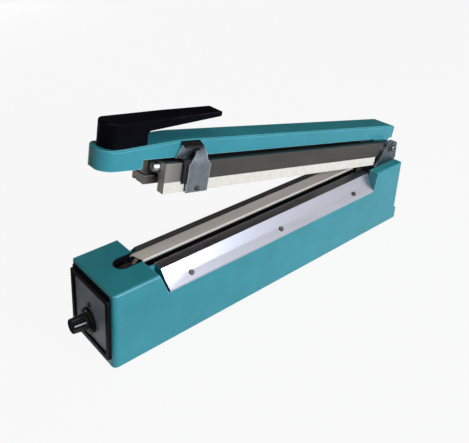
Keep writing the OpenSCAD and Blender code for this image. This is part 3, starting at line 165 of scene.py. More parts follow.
def moulded(name, dark, light, rough, grain_mm, depth_mm, specular=0.4, tilt=0.0, edge=None):
    """Moulded plastic: a fine spark-eroded grain, with slightly paler and shinier patches where it is held.
    The real grain is about 0.2 mm, and is drawn coarser so that it shows."""
    material, tree, shader, place = begin(name, Specular_IOR_Level=specular)
    turn = {"Vector": place["Object"], "Rotation": (0, tilt, 0)}
    patch_at = add(tree, "ShaderNodeMapping", {**turn, "Scale": mm(20)}, vector_type="TEXTURE")
    patch = add(tree, "ShaderNodeTexNoise",
                {"Vector": patch_at[0], "Scale": 1, "Detail": 4, "Roughness": 0.6})
    shade = add(tree, "ShaderNodeMapRange", {"Value": patch["Fac"], "From Min": 0.35, "From Max": 0.75})
    colour = add(tree, "ShaderNodeMix", {0: shade[0], 6: linear(dark), 7: linear(light)}, data_type="RGBA")
    # A given edge colour paints a highlight along the crisp edges
    if edge:
        colour = rubbed_edges(tree, colour[2], edge, reach_mm=0.8)
    gloss = add(tree, "ShaderNodeMapRange",
                {"Value": shade[0], "To Min": rough + 0.06, "To Max": rough - 0.06})
    grain_at = add(tree, "ShaderNodeMapping", {**turn, "Scale": mm(grain_mm)}, vector_type="TEXTURE")
    grain = add(tree, "ShaderNodeTexNoise", {"Vector": grain_at[0], "Scale": 1, "Detail": 2})
    normal = add(tree, "ShaderNodeBump", {"Height": grain["Fac"], "Distance": depth_mm * MM})
    finish(tree, shader, Base_Color=colour[2], Roughness=gloss[0], Normal=normal[0])
    return material


def rolled(name, dark, light, low, high, line_mm=0.4, tilt=0.0, cut=None, worn=None):
    """Rolled or drawn metal: fine long lines along the piece under faint clouds of handling.
    A cut colour shows on sawn ends, and fades in between the two worn places along the piece.
    The real lines lie about 0.1 mm apart, and are drawn coarser so that they show."""
    material, tree, shader, place = begin(name, Metallic=1.0)
    turn = {"Vector": place["Object"], "Rotation": (0, tilt, 0)}
    lines_at = add(tree, "ShaderNodeMapping", {**turn, "Scale": mm(line_mm * 160, line_mm, line_mm)},
                   vector_type="TEXTURE")
    lines = add(tree, "ShaderNodeTexNoise",
                {"Vector": lines_at[0], "Scale": 1, "Detail": 3, "Roughness": 0.6})
    clouds_at = add(tree, "ShaderNodeMapping", {**turn, "Scale": mm(90, 28, 28)}, vector_type="TEXTURE")
    clouds = add(tree, "ShaderNodeTexNoise",
                 {"Vector": clouds_at[0], "Scale": 1, "Detail": 3, "Roughness": 0.55})
    both = add(tree, "ShaderNodeMath", {0: lines["Fac"], 1: clouds["Fac"]}, operation="ADD")
    shade = add(tree, "ShaderNodeMapRange", {"Value": both[0], "From Min": 0.7, "From Max": 1.3})
    colour = add(tree, "ShaderNodeMix", {0: shade[0], 6: linear(dark), 7: linear(light)}, data_type="RGBA")
    if cut:
        along = (math.cos(tilt), 0, -math.sin(tilt))
        facing = add(tree, "ShaderNodeVectorMath", {0: place["Normal"], 1: along}, operation="DOT_PRODUCT")
        end = add(tree, "ShaderNodeMath", {0: facing["Value"]}, operation="ABSOLUTE")
        bare = add(tree, "ShaderNodeMapRange", {"Value": end[0], "From Min": 0.9, "From Max": 0.98})
        if worn:
            way = add(tree, "ShaderNodeVectorMath", {0: place["Object"], 1: along}, operation="DOT_PRODUCT")
            rubbed = add(tree, "ShaderNodeMapRange", {"Value": way["Value"], "From Min": worn[0] * MM,
                                                      "From Max": worn[1] * MM, "To Min": 0.75, "To Max": 0})
            bare = add(tree, "ShaderNodeMath", {0: bare[0], 1: rubbed[0]}, operation="MAXIMUM")
        colour = add(tree, "ShaderNodeMix", {0: bare[0], 6: colour[2], 7: linear(cut)}, data_type="RGBA")
    rough = add(tree, "ShaderNodeMapRange", {"Value": shade[0], "To Min": high, "To Max": low})
    normal = add(tree, "ShaderNodeBump", {"Height": lines["Fac"], "Distance": 0.004 * MM})
    finish(tree, shader, Base_Color=colour[2], Roughness=rough[0], Normal=normal[0])
    return material


def plated(name, dark, light, low, high, tilt=0.0, edge=None):
    """Zinc-plated or plain bright metal: a cloudy passivated film with small brighter and duller patches.
    The real grain is about 0.3 mm, and is drawn coarser so that it shows."""
    material, tree, shader, place = begin(name, Metallic=1.0)
    turn = {"Vector": place["Object"], "Rotation": (0, tilt, 0)}
    film_at = add(tree, "ShaderNodeMapping", {**turn, "Scale": mm(9)}, vector_type="TEXTURE")
    film = add(tree, "ShaderNodeTexNoise", {"Vector": film_at[0], "Scale": 1, "Detail": 5, "Roughness": 0.65})
    shade = add(tree, "ShaderNodeMapRange", {"Value": film["Fac"], "From Min": 0.3, "From Max": 0.7})
    colour = add(tree, "ShaderNodeMix", {0: shade[0], 6: linear(dark), 7: linear(light)}, data_type="RGBA")
    # A given edge colour paints a highlight along the crisp edges
    if edge:
        colour = rubbed_edges(tree, colour[2], edge, reach_mm=0.9)
    spots_at = add(tree, "ShaderNodeMapping", {**turn, "Scale": mm(3.5)}, vector_type="TEXTURE")
    spots = add(tree, "ShaderNodeTexNoise",
                {"Vector": spots_at[0], "Scale": 1, "Detail": 4, "Roughness": 0.6})
    rough = add(tree, "ShaderNodeMapRange",
                {"Value": spots["Fac"], "From Min": 0.3, "From Max": 0.7, "To Min": low, "To Max": high})
    grain_at = add(tree, "ShaderNodeMapping", {**turn, "Scale": mm(1.2)}, vector_type="TEXTURE")
    grain = add(tree, "ShaderNodeTexNoise", {"Vector": grain_at[0], "Scale": 1, "Detail": 3})
    normal = add(tree, "ShaderNodeBump", {"Height": grain["Fac"], "Distance": 0.006 * MM})
    finish(tree, shader, Base_Color=colour[2], Roughness=rough[0], Normal=normal[0])
    return material


def dull(name, dark, light, rough, fleck_mm, grain_mm, depth_mm, tilt=0.0):
    """A dull non-metal such as rubber, card, board or a fired block: flecks of shade over a fine grain.
    The real grain is a few tenths of a millimetre, and is drawn coarser so that it shows."""
    material, tree, shader, place = begin(name, Specular_IOR_Level=0.35)
    turn = {"Vector": place["Object"], "Rotation": (0, tilt, 0)}
    fleck_at = add(tree, "ShaderNodeMapping", {**turn, "Scale": mm(fleck_mm)}, vector_type="TEXTURE")
    fleck = add(tree, "ShaderNodeTexNoise",
                {"Vector": fleck_at[0], "Scale": 1, "Detail": 5, "Roughness": 0.7})
    shade = add(tree, "ShaderNodeMapRange", {"Value": fleck["Fac"], "From Min": 0.3, "From Max": 0.65})
    colour = add(tree, "ShaderNodeMix", {0: shade[0], 6: linear(dark), 7: linear(light)}, data_type="RGBA")
    gloss = add(tree, "ShaderNodeMapRange",
                {"Value": shade[0], "To Min": rough + 0.08, "To Max": rough - 0.08})
    grain_at = add(tree, "ShaderNodeMapping", {**turn, "Scale": mm(grain_mm)}, vector_type="TEXTURE")
    grain = add(tree, "ShaderNodeTexNoise", {"Vector": grain_at[0], "Scale": 1, "Detail": 2})
    normal = add(tree, "ShaderNodeBump", {"Height": grain["Fac"], "Distance": depth_mm * MM})
    finish(tree, shader, Base_Color=colour[2], Roughness=gloss[0], Normal=normal[0])
    return material


def coated_cloth(name):
    """Coated glass cloth over the ribbon: a plain weave under a waxy coat, browned in streaks along the seal.
    Its threads lie 0.35 mm apart, and are drawn at 1 mm so that they show."""
    material, tree, shader, place = begin(name, Specular_IOR_Level=0.4, Coat_Weight=0.15, Coat_Roughness=0.3)
    thread_mm = 1.0
    threads = []
    for direction in ("X", "Y"):
        # One band of this texture is pi / 10 wide at scale 1
        wave = add(tree, "ShaderNodeTexWave",
                   {"Vector": place["Object"], "Scale": math.pi / 10 / (thread_mm * MM)},
                   wave_type="BANDS", bands_direction=direction, wave_profile="SIN")
        threads.append(wave["Fac"])
    weave = add(tree, "ShaderNodeMath", {0: threads[0], 1: threads[1]}, operation="MULTIPLY")
    streaks_at = add(tree, "ShaderNodeMapping", {"Vector": place["Object"], "Scale": mm(150, 9, 9)},
                     vector_type="TEXTURE")
    streaks = add(tree, "ShaderNodeTexNoise",
                  {"Vector": streaks_at[0], "Scale": 1, "Detail": 4, "Roughness": 0.6})
    shade = add(tree, "ShaderNodeMapRange", {"Value": streaks["Fac"], "From Min": 0.3, "From Max": 0.7})
    colour = add(tree, "ShaderNodeMix", {0: shade[0], 6: linear("#cbbdac"), 7: linear("#e2d8ca")},
                 data_type="RGBA")
    rough = add(tree, "ShaderNodeMapRange", {"Value": shade[0], "To Min": 0.42, "To Max": 0.3})
    normal = add(tree, "ShaderNodeBump", {"Height": weave[0], "Distance": 0.01 * MM})
    finish(tree, shader, Base_Color=colour[2], Roughness=rough[0], Normal=normal[0])
    return material


def tinted_lens(name):
    """Small tinted lens of the lamp, unlit, so dark with a hint of its red."""
    material, tree, shader, place = begin(name, Specular_IOR_Level=0.25, Coat_Weight=0.1, Coat_Roughness=0.1)
    depth_at = add(tree, "ShaderNodeMapping", {"Vector": place["Object"], "Scale": mm(1.8)},
                   vector_type="TEXTURE")
    depth = add(tree, "ShaderNodeTexNoise", {"Vector": depth_at[0], "Scale": 1, "Detail": 2})
    shade = add(tree, "ShaderNodeMapRange", {"Value": depth["Fac"], "From Min": 0.3, "From Max": 0.7})
    colour = add(tree, "ShaderNodeMix", {0: shade[0], 6: linear("#0a0606"), 7: linear("#180a09")},
                 data_type="RGBA")
    rough = add(tree, "ShaderNodeMapRange", {"Value": shade[0], "To Min": 0.2, "To Max": 0.3})
    finish(tree, shader, Base_Color=colour[2], Roughness=rough[0])
    return material


# Teal enamel: deep and glossy, with painted shade, near black, in the hollow under the front block's slot
SLOT_POCKET = ((35 - ORIGIN_X, 0, 54.3 + FOOT_H), (14.9, 14.0, 24.5))
TEAL_BASE = enamel("enamel_teal_casting", pocket=SLOT_POCKET)
TEAL_ARM = enamel("enamel_teal_arm", ARM_OPEN)
# Moulded plastics: satin, and nearly without reflections on the handle, bezel and knob.
# Two shades, roughness, the grain's size and depth in millimetres, and how strongly they reflect
# The handle's paler edge colour is a painted highlight along its edges
HANDLE = moulded("moulded_black_handle", "#040308", "#0a0910", 0.46, 1.1, 0.012, 0.025, ARM_OPEN,
                 edge="#4a4756")
BEZEL = moulded("moulded_black_bezel", "#050609", "#0b0c11", 0.5, 0.9, 0.012, 0.08)
KNOB = moulded("moulded_black_knob", "#040405", "#0a0a0c", 0.38, 0.6, 0.008, 0.12)
NYLON = moulded("moulded_black_nylon", "#08080a", "#121215", 0.45, 0.6, 0.012, 0.3, ARM_OPEN)
CASES = moulded("moulded_component_cases", "#1d1f22", "#303338", 0.5, 0.8, 0.012)
SWITCH_RED = moulded("moulded_red_plunger", "#93301f", "#ad4433", 0.45, 0.8, 0.01)
# Rubbers, card, fired block, board, varnished iron and tape: dull and flecked.
# Two shades, roughness, and the size of the flecks, the grain and the grain's depth in millimetres
RUBBER_BLACK = dull("cast_black_rubber_feet", "#151516", "#222224", 0.7, 5, 0.8, 0.02)
GROMMET = dull("cast_black_rubber_grommet", "#121213", "#1f1f21", 0.6, 5, 0.8, 0.02)
RUBBER_CREAM = dull("cast_cream_rubber_clamping", "#d4cdbb", "#e3dcca", 0.55, 5, 0.9, 0.015, ARM_OPEN)
RUBBER_SEAL = dull("cast_cream_rubber_sealing", "#c8c4b6", "#d8d4c7", 0.55, 5, 0.9, 0.015, ARM_OPEN)
CARD = dull("pressed_insulating_card", "#b49f78", "#cdb990", 0.7, 6, 0.8, 0.03)
CERAMIC = dull("fired_brown_block", "#5d4d40", "#776454", 0.6, 4, 0.6, 0.02)
BOARD = dull("laminated_green_board", "#285c3c", "#37764e", 0.45, 6, 0.5, 0.01)
CORE = dull("stacked_iron_laminations", "#3d4044", "#565a5f", 0.45, 6, 0.5, 0.03)
WINDING = dull("taped_copper_winding", "#8f5422", "#b9753a", 0.5, 6, 1.0, 0.03)
# The dial: an even satin film, flat ink, and paint that use has greyed
FILM = dull("printed_blue_grey_film", "#8f96a1", "#9ba2ac", 0.45, 14, 0.6, 0.006)
INK = dull("printed_dark_ink", "#15181d", "#20252c", 0.5, 1.5, 0.4, 0.004)
WHITE_FILL = dull("worn_white_paint", "#96968f", "#aeaea7", 0.6, 1.5, 0.4, 0.006)
# Rolled, anodised and ground metals: long lines that draw the light out along the piece.
# Two shades, the lowest and highest roughness, and the width of the lines in millimetres
STRIP = rolled("rolled_bright_strip", "#aaabb4", "#c4c5cd", 0.24, 0.34)
# The seal bar is coloured near black, which gives the dark band beside the cover
SEAL_BAR = rolled("near_black_bar_metal", "#24211f", "#34302d", 0.35, 0.5)
RAIL = rolled("anodised_brown_rail", "#474644", "#5a5856", 0.3, 0.44, 0.5, ARM_OPEN, cut="#a3a09c",
              worn=(-162, -132))
PRESS = rolled("anodised_brown_pressing_bar", "#5d5854", "#726c67", 0.32, 0.46, 0.5, ARM_OPEN, cut="#a09b96")
RIBBON = rolled("rolled_resistance_ribbon", "#7a6a5c", "#94826f", 0.25, 0.4)
BLADE = rolled("ground_blade_steel", "#b9bec4", "#dfe3e7", 0.1, 0.2, 0.2, ARM_OPEN)
# Plated, drawn and tarnished metals: cloudy, with bright and dull spots, and some with a painted highlight at
# the edges.
# Two shades, and the lowest and highest roughness
ZINC = plated("plated_zinc_bracket", "#8d959b", "#b4babf", 0.28, 0.45)
ZINC_ARM = plated("plated_zinc_saddle", "#646b72", "#80878c", 0.26, 0.4, ARM_OPEN, edge="#eef1f3")
ZINC_DARK = plated("plated_dark_zinc_bracket", "#4c545a", "#616a70", 0.28, 0.42, edge="#b4bcc2")
SCREWS = plated("plated_zinc_screws", "#9a9da1", "#cbced1", 0.22, 0.36)
DARK_SCREWS = plated("blackened_strip_screws", "#4a4744", "#6b6763", 0.3, 0.45)
SPRING = plated("drawn_spring_wire", "#83888d", "#b3b8bd", 0.2, 0.35)
BRASS = plated("rolled_brass", "#98742b", "#c6a04a", 0.25, 0.4)
BRONZE = plated("tarnished_bronze_terminals", "#6f6052", "#93816d", 0.3, 0.5)
PLATE = plated("pickled_plate_steel", "#71767b", "#8f9499", 0.5, 0.65)
# The unlit lamp, and the waxy cloth over the ribbon
LENS = tinted_lens("moulded_dark_lens")
CLOTH = coated_cloth("coated_glass_cloth")

FINISH_OF = {
    "base_housing": TEAL_BASE, "arm_beam": TEAL_ARM, "handle": HANDLE, "front_bezel": BEZEL,
    "timer_knob": KNOB, "cutter_shoe": NYLON, "cutter_grip": NYLON, "microswitch": CASES,
    "rubber_feet": RUBBER_BLACK, "cord_grommet": GROMMET, "clamping_rubber": RUBBER_CREAM,
    "sealing_rubber": RUBBER_SEAL, "near_strip": STRIP, "far_strip": STRIP, "seal_bar": SEAL_BAR,
    "cutter_rail": RAIL, "pressing_bar": PRESS, "heating_ribbon": RIBBON, "hinge_bracket": ZINC_DARK,
    "hinge_pin": ZINC_DARK, "hinge_spacer": ZINC, "rail_spacer": ZINC_ARM, "switch_pin": ZINC_ARM,
    "transformer_frame": ZINC, "switch_bracket": ZINC, "timer_shaft": ZINC, "timer_pot": ZINC,
    "cutter_saddle": ZINC_ARM, "return_spring": SPRING, "pin_clips": ZINC_DARK, "cutter_blade": BLADE,
    "terminal_plates": BRONZE, "terminal_screws": BRONZE, "pivot_bush": BRASS, "bottom_plate": PLATE,
    "dial_plate": FILM, "indicator_lamp": LENS, "release_cover": CLOTH, "insulation_strip": CARD,
    "terminal_blocks": CERAMIC, "timer_board": BOARD, "board_components": CASES, "strip_screws": DARK_SCREWS,
    "cutter_screws": DARK_SCREWS, "transformer_core": CORE, "transformer_winding": WINDING,
    "switch_plunger": SWITCH_RED,
}
# Screws, nuts and bolts that are not named above share one finish
for name, piece in nodes.items():
    piece.data.materials.clear()
    piece.data.materials.append(FINISH_OF.get(name, SCREWS))


# Shading and softened edges of the solids
def shading_tree():
    """Shades a solid smoothly across its rounds, and crisply across edges steeper than its angle."""
    tree = bpy.data.node_groups.new("smooth_rounds", "GeometryNodeTree")
    face = tree.interface
    face.new_socket("Geometry", in_out="INPUT", socket_type="NodeSocketGeometry")
    steep = face.new_socket("Angle", in_out="INPUT", socket_type="NodeSocketFloat")
    face.new_socket("Geometry", in_out="OUTPUT", socket_type="NodeSocketGeometry")
    given = add(tree, "NodeGroupInput")
    angle = add(tree, "GeometryNodeInputMeshEdgeAngle")
    sharp = add(tree, "FunctionNodeCompare", {0: angle["Unsigned Angle"], 1: given["Angle"]},
                data_type="FLOAT", operation="GREATER_THAN")
    rounds = add(tree, "GeometryNodeSetShadeSmooth", {"Geometry": given["Geometry"], "Shade Smooth": True},
                 domain="FACE")
    crisp = add(tree, "GeometryNodeSetShadeSmooth",
                {"Geometry": rounds[0], "Selection": sharp[0], "Shade Smooth": False}, domain="EDGE")
    add(tree, "NodeGroupOutput", {"Geometry": crisp[0]})
    return tree, steep.identifier


SMOOTH_ROUNDS, STEEP = shading_tree()
# Edges steeper than the first stay crisp, those steeper than the second are rounded, and facets of one plane
# differ by less than the third
CRISP, ROUNDED, LEVEL = math.radians(36), math.radians(28), math.radians(0.5)
# Corners closer than this, in metres, are one
ONE_CORNER = 1e-6


def soften(piece, width_mm):
    """Smooths the solid's rounds. A width rounds its crisp edges too, and gives each a thin line of light."""
    weld = piece.modifiers.new("weld", "WELD")
    weld.merge_threshold = ONE_CORNER
    if width_mm:
        flat = piece.modifiers.new("flat", "DECIMATE")
        flat.decimate_type = "DISSOLVE"
        flat.angle_limit = LEVEL
        bevel = piece.modifiers.new("edge", "BEVEL")
        bevel.width = width_mm * MM
        bevel.segments = 2
        bevel.limit_method = "ANGLE"
        bevel.angle_limit = ROUNDED
        tips = piece.modifiers.new("tips", "WELD")
        tips.merge_threshold = ONE_CORNER
    rounds = piece.modifiers.new("rounds", "NODES")
    rounds.node_group = SMOOTH_ROUNDS
    rounds[STEEP] = CRISP
    shade = piece.modifiers.new("shade", "WEIGHTED_NORMAL")
    shade.keep_sharp = True


# Width of the rounded edges of the larger pieces
SOFTENED_MM = {
    "base_housing": 0.7, "arm_beam": 0.7, "handle": 1.5, "front_bezel": 0.5, "near_strip": 0.25,
    "far_strip": 0.25, "cutter_rail": 0.3, "pressing_bar": 0.3, "clamping_rubber": 0.4,
    "cutter_saddle": 0.3, "hinge_bracket": 0.3, "cutter_shoe": 0.3, "cutter_grip": 0.5, "rail_spacer": 0.3,
}
for name, piece in nodes.items():
    soften(piece, SOFTENED_MM.get(name, 0))


# Pieces that the scene adds
def made(name, mesh, material, body=None):
    """A finished piece at the origin, riding on a body."""
    mesh.materials.append(material)
    piece = bpy.data.objects.new(name, mesh)
    scene.collection.objects.link(piece)
    if body:
        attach(piece, body)
    return piece


def smooth(mesh):
    """Shades all faces smoothly."""
    mesh.polygons.foreach_set("use_smooth", [True] * len(mesh.polygons))


def tube(mesh_data, rings):
    """Joins rings of corners into a tube, and closes both its ends."""
    count = len(rings[0])
    for a, b in zip(rings, rings[1:]):
        for k in range(count):
            n = (k + 1) % count
            mesh_data.faces.new((a[k], a[n], b[n], b[k]))
    mesh_data.faces.new(rings[0][::-1])
    mesh_data.faces.new(rings[-1])


def closed_mesh(name, mesh_data):
    """A mesh from closed shells, with their faces outward."""
    bmesh.ops.recalc_face_normals(mesh_data, faces=mesh_data.faces)
    mesh = bpy.data.meshes.new(name)
    mesh_data.to_mesh(mesh)
    mesh_data.free()
    return mesh


def bed_cloth():
    """The cover's coated cloth over the seal bar: a thin strip with rounded folds and a faint ripple."""
    low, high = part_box("release_cover")
    thickness, fold_r = 0.3 * MM, 0.5 * MM
    # The front end is cut aslant and stands a little ahead of the bar
    overhang, slant = 3.5 * MM, 2.5 * MM
    # The ripple: its depth, its waves in radians over a metre's length and over half the width, and how much
    # of the width it takes up
    ripple_depth, along_wave, across_wave, ripple_share = 0.04 * MM, 190, 40, 0.92
    # Points round a fold, across the top and along the cloth, and how much of the top the points take up
    fold_steps, top_steps, steps, top_share = 4, 12, 96, 0.93
    half, top = high[1], high[2]
    leg = top - low[2]
    outer = [(-half, top - leg)]
    outer += [(-half + fold_r * (1 - math.cos(a)), top - fold_r * (1 - math.sin(a)))
              for a in (math.pi / 2 * i / fold_steps for i in range(fold_steps + 1))]
    near_side = outer[::-1]
    outer += [(half * (2 * i / top_steps - 1) * top_share, top) for i in range(1, top_steps)]
    outer += [(-y, z) for y, z in near_side]
    mesh_data = bmesh.new()
    rings = []
    for i in range(steps + 1):
        share = i / steps
        ring = []
        for outline, depth in ((outer, 0), (outer[::-1], thickness)):
            for y, z in outline:
                x = low[0] - (overhang + slant * y / half) * (1 - share) + (high[0] - low[0]) * share
                wave = 1 + math.sin(x * along_wave + across_wave * y / half)
                ripple = -ripple_depth * wave * (abs(y) < half * ripple_share)
                drop = depth if z > top - leg else 0
                ring.append(mesh_data.verts.new((x, y * (1 - depth / half), z - drop + ripple)))
        rings.append(ring)
    tube(mesh_data, rings)
    mesh = closed_mesh("bed_cloth", mesh_data)
    smooth(mesh)
    piece = made("bed_cloth", mesh, CLOTH, "base")
    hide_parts("release_cover")


def wound_spring():
    """The return spring as one round wire: a leg under the arm, turns on the pin and a leg on the bracket."""
    # Millimetres of the drawing, and degrees round the pin
    wire, radius = 1.6, 8.6
    y_arm, y_base = 13.6, 23.3
    start, sweep = 77.3, 1567.3
    arm_leg, base_leg_z = 26, 71.6
    steps, sides = 108, 10
    end = start - sweep

    def on_coil(turn, y):
        """A point of the wire's middle, at an angle round the pin."""
        a = math.radians(turn)
        return Vector((PIVOT_X + radius * math.cos(a), y, PIVOT_Z + radius * math.sin(a)))

    def heading(turn):
        """The way the wire runs on at that angle, from the arm's leg to the bracket's."""
        a = math.radians(turn)
        return Vector((math.sin(a), 0, -math.cos(a)))

    base_leg = (on_coil(end, y_base).z - base_leg_z) / math.cos(math.radians(end))
    path = [(on_coil(start, y_arm) - heading(start) * t, start) for t in (arm_leg, arm_leg / 2)]
    for i in range(steps + 1):
        turn = start - sweep * i / steps
        path.append((on_coil(turn, y_arm + (y_base - y_arm) * i / steps), turn))
    path += [(on_coil(end, y_base) + heading(end) * t, end) for t in (base_leg / 2, base_leg)]
    mesh_data = bmesh.new()
    rings = []
    for point, turn in path:
        out = Vector((math.cos(math.radians(turn)), 0, math.sin(math.radians(turn))))
        ring = []
        for k in range(sides):
            a = 2 * math.pi * k / sides
            at = point + (out * math.cos(a) + Vector((0, 1, 0)) * math.sin(a)) * wire / 2
            ring.append(mesh_data.verts.new(((at.x - ORIGIN_X) * MM, at.y * MM, (at.z + FOOT_H) * MM)))
        rings.append(ring)
    tube(mesh_data, rings)
    mesh = closed_mesh("wound_spring", mesh_data)
    smooth(mesh)
    piece = made("wound_spring", mesh, SPRING, None)
    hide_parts("return_spring")
    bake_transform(piece)


# Sizes on the panel, in millimetres: the knob's axis, the plate's face and the knob's own profile
KNOB_UP, KNOB_SIDE, PLATE_FACE = 32.0, 3.0, 1.2
GRIP_R, SKIRT_R, SKIRT_TOP, SKIRT_EDGE, KNOB_TOP = 8.5, 13.3, 5.7, 4.1, 20.7
GRIP_TAPER = 1.1


def grip_radius(out_mm):
    """The grip narrows from its foot to its end."""
    return GRIP_R - GRIP_TAPER * (out_mm - SKIRT_TOP) / (KNOB_TOP - SKIRT_TOP)


def fluted_knob():
    """The timer's knob: a bevelled skirt and a tapered grip with flutes, hollow over the nut and shaft."""
    # Heights and radii of the hollow below, in millimetres, then the flutes
    knob_base, nut_clear, shaft_end, bore_r, hollow_r = 1.7, 4.6, 14.3, 3.15, 8.0
    flutes, per_flute, flute_depth, grip_steps = 24, 6, 0.75, 8
    first, last = SKIRT_TOP + 1.6, KNOB_TOP - 0.35
    # Radius, height and share of the flutes' depth, from the end's middle round to the shaft's hole
    profile = [(0, KNOB_TOP - 0.5, 0), (5.2, KNOB_TOP - 0.5, 0), (5.6, KNOB_TOP, 0),
               (grip_radius(last) - 0.55, KNOB_TOP, 0.3), (grip_radius(last) - 0.15, KNOB_TOP - 0.12, 0.7)]
    profile += [(grip_radius(h), h, 1)
                for h in (last + (first - last) * i / grip_steps for i in range(grip_steps + 1))]
    profile += [(grip_radius(first) + 0.1, first - 0.7, 0), (GRIP_R + 0.5, SKIRT_TOP + 0.15, 0),
                (GRIP_R + 1, SKIRT_TOP, 0), (GRIP_R + 2.2, SKIRT_TOP, 0), (GRIP_R + 2.6, SKIRT_TOP - 0.12, 0),
                (SKIRT_R - 0.25, SKIRT_EDGE + 0.25, 0), (SKIRT_R, SKIRT_EDGE - 0.2, 0),
                (SKIRT_R, knob_base + 0.2, 0), (SKIRT_R - 0.2, knob_base, 0), (hollow_r, knob_base, 0),
                (hollow_r, nut_clear, 0), (bore_r, nut_clear, 0), (bore_r, shaft_end, 0), (0, shaft_end, 0)]
    sides = flutes * per_flute
    mesh_data = bmesh.new()
    rings = []
    for radius, out_mm, share in profile:
        if radius == 0:
            rings.append([mesh_data.verts.new(PANEL @ (Vector((KNOB_UP, KNOB_SIDE, out_mm)) * MM))])
            continue
        ring = []
        for k in range(sides):
            a = 2 * math.pi * k / sides
            r = radius - share * flute_depth * abs(math.cos(a * flutes / 2)) ** 3
            at = Vector((KNOB_UP + r * math.cos(a), KNOB_SIDE + r * math.sin(a), out_mm))
            ring.append(mesh_data.verts.new(PANEL @ (at * MM)))
        rings.append(ring)
    for a, b in zip(rings, rings[1:]):
        for k in range(sides):
            n = (k + 1) % sides
            if len(a) == 1:
                mesh_data.faces.new((a[0], b[k], b[n]))
            elif len(b) == 1:
                mesh_data.faces.new((a[k], b[0], a[n]))
            else:
                mesh_data.faces.new((a[k], b[k], b[n], a[n]))
    mesh = closed_mesh("fluted_knob", mesh_data)
    smooth(mesh)
    mesh.set_sharp_from_angle(angle=CRISP)
    piece = made("fluted_knob", mesh, KNOB, "knob")
    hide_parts("timer_knob")


def knob_marks():
    """Worn white paint in the knob's marks: a dot at the top of the skirt and a line along the grip."""
    mesh_data = bmesh.new()
    # Millimetres: how far the paint stands out, how deep it sits, and the dot's radius and place on the skirt
    lift, dome, sunk, dome_share = 0.06, 0.04, 0.1, 0.8
    dot_r, dot_up, dot_drop, dot_sides = 1.2, 12.0, 1.0, 20
    slope = math.atan2(SKIRT_TOP - SKIRT_EDGE, SKIRT_R - (GRIP_R + 2.5))
    middle = Vector((KNOB_UP + dot_up, KNOB_SIDE, SKIRT_TOP - math.tan(slope) * dot_drop))
    across = Vector((0, 1, 0))
    down = Vector((math.cos(slope), 0, -math.sin(slope)))
    out = down.cross(across)
    rims = []
    for height, radius in ((-sunk, dot_r), (lift, dot_r), (lift + dome, dot_r * dome_share)):
        rim = []
        for k in range(dot_sides):
            a = 2 * math.pi * k / dot_sides
            at = middle + out * height + radius * (across * math.cos(a) + down * math.sin(a))
            rim.append(mesh_data.verts.new(PANEL @ (at * MM)))
        rims.append(rim)
    tube(mesh_data, rims)
    # The line's place round the grip, half its width, its ends and its depth
    turn, half_angle = math.radians(60), math.radians(5)
    first, last, depth, steps = SKIRT_TOP + 2.2, KNOB_TOP - 0.7, 1.2, 6
    rows = []
    for out_mm in [first + (last - first) * i / steps for i in range(steps + 1)]:
        row = []
        grip = grip_radius(out_mm)
        for radius, sides in ((grip - depth, (-1, 0, 1)), (grip + lift, (1, 0, -1))):
            for side in sides:
                a = turn + side * half_angle
                at = Vector((KNOB_UP + radius * math.cos(a), KNOB_SIDE - radius * math.sin(a), out_mm))
                row.append(mesh_data.verts.new(PANEL @ (at * MM)))
        rows.append(row)
    tube(mesh_data, rows)
    made("knob_marks", closed_mesh("knob_marks", mesh_data), WHITE_FILL, "knob")


def panel_frame(name, outer, inner, foot, face):
    """A thin closed black frame on the panel between two rounded outlines, in millimetres.
    Each outline gives its lower end, upper end, half width and rounding. The foot and the face say how far
    the frame's back and front stand out."""
    corner_steps = 6
    loops = []
    for low, high, half, r in (outer, inner):
        for out_mm in (foot, face):
            loop = []
            for u, v, first in ((high - r, half - r, 0), (low + r, half - r, 90),
                                (low + r, r - half, 180), (high - r, r - half, 270)):
                for a in (math.radians(first + 90 * k / corner_steps) for k in range(corner_steps + 1)):
                    loop.append(Vector((u + r * math.cos(a), v + r * math.sin(a), out_mm)))
            loops.append(loop)
    mesh_data = bmesh.new()
    rings = [[mesh_data.verts.new(PANEL @ (at * MM)) for at in loop] for loop in loops]
    count = len(rings[0])
    for a, b in ((rings[0], rings[1]), (rings[1], rings[3]), (rings[3], rings[2]), (rings[2], rings[0])):
        for k in range(count):
            n = (k + 1) % count
            mesh_data.faces.new((a[k], a[n], b[n], b[k]))
    made(name, closed_mesh(name, mesh_data), BEZEL, "base")


def slot_liner():
    """Black edging over the front block's slot walls: a dark piece that stands in for their shade."""
    # Millimetres of the drawing: the slot, the edging's ends, its lip over the rim and its thickness
    slot_x0, slot_x1, half = 25.05, 49.9, 8.95
    low, high, lip, thick = 76.5, 82.25, 0.7, 0.6
    straight_x, turn_steps = slot_x0 + half + 8, 16
    # Outline from the near leg round the closed end to the far leg, as points and outward directions
    outline = [((slot_x1, -half), (0, -1)), ((straight_x, -half), (0, -1))]
    for i in range(turn_steps + 1):
        a = -math.pi / 2 - math.pi * i / turn_steps
        way = (math.cos(a), math.sin(a))
        outline.append(((slot_x0 + half + half * way[0], half * way[1]), way))
    outline += [((straight_x, half), (0, 1)), ((slot_x1, half), (0, 1))]
    # Section across the edging: out from the wall, up, over the rim and back down inside
    section = [(0, low), (0, high - 0.2), (lip, high - 0.2), (lip, high - 0.05), (lip - 0.15, high),
               (0.15 - thick, high), (-thick, high - 0.15), (-thick, low)]
    mesh_data = bmesh.new()
    rings = []
    for (x, y), (out_x, out_y) in outline:
        ring = []
        for off, z in section:
            at = Vector((x + out_x * off - ORIGIN_X, y + out_y * off, z + FOOT_H))
            ring.append(mesh_data.verts.new(at * MM))
        rings.append(ring)
    tube(mesh_data, rings)
    made("slot_liner", closed_mesh("slot_liner", mesh_data), BEZEL, "base")


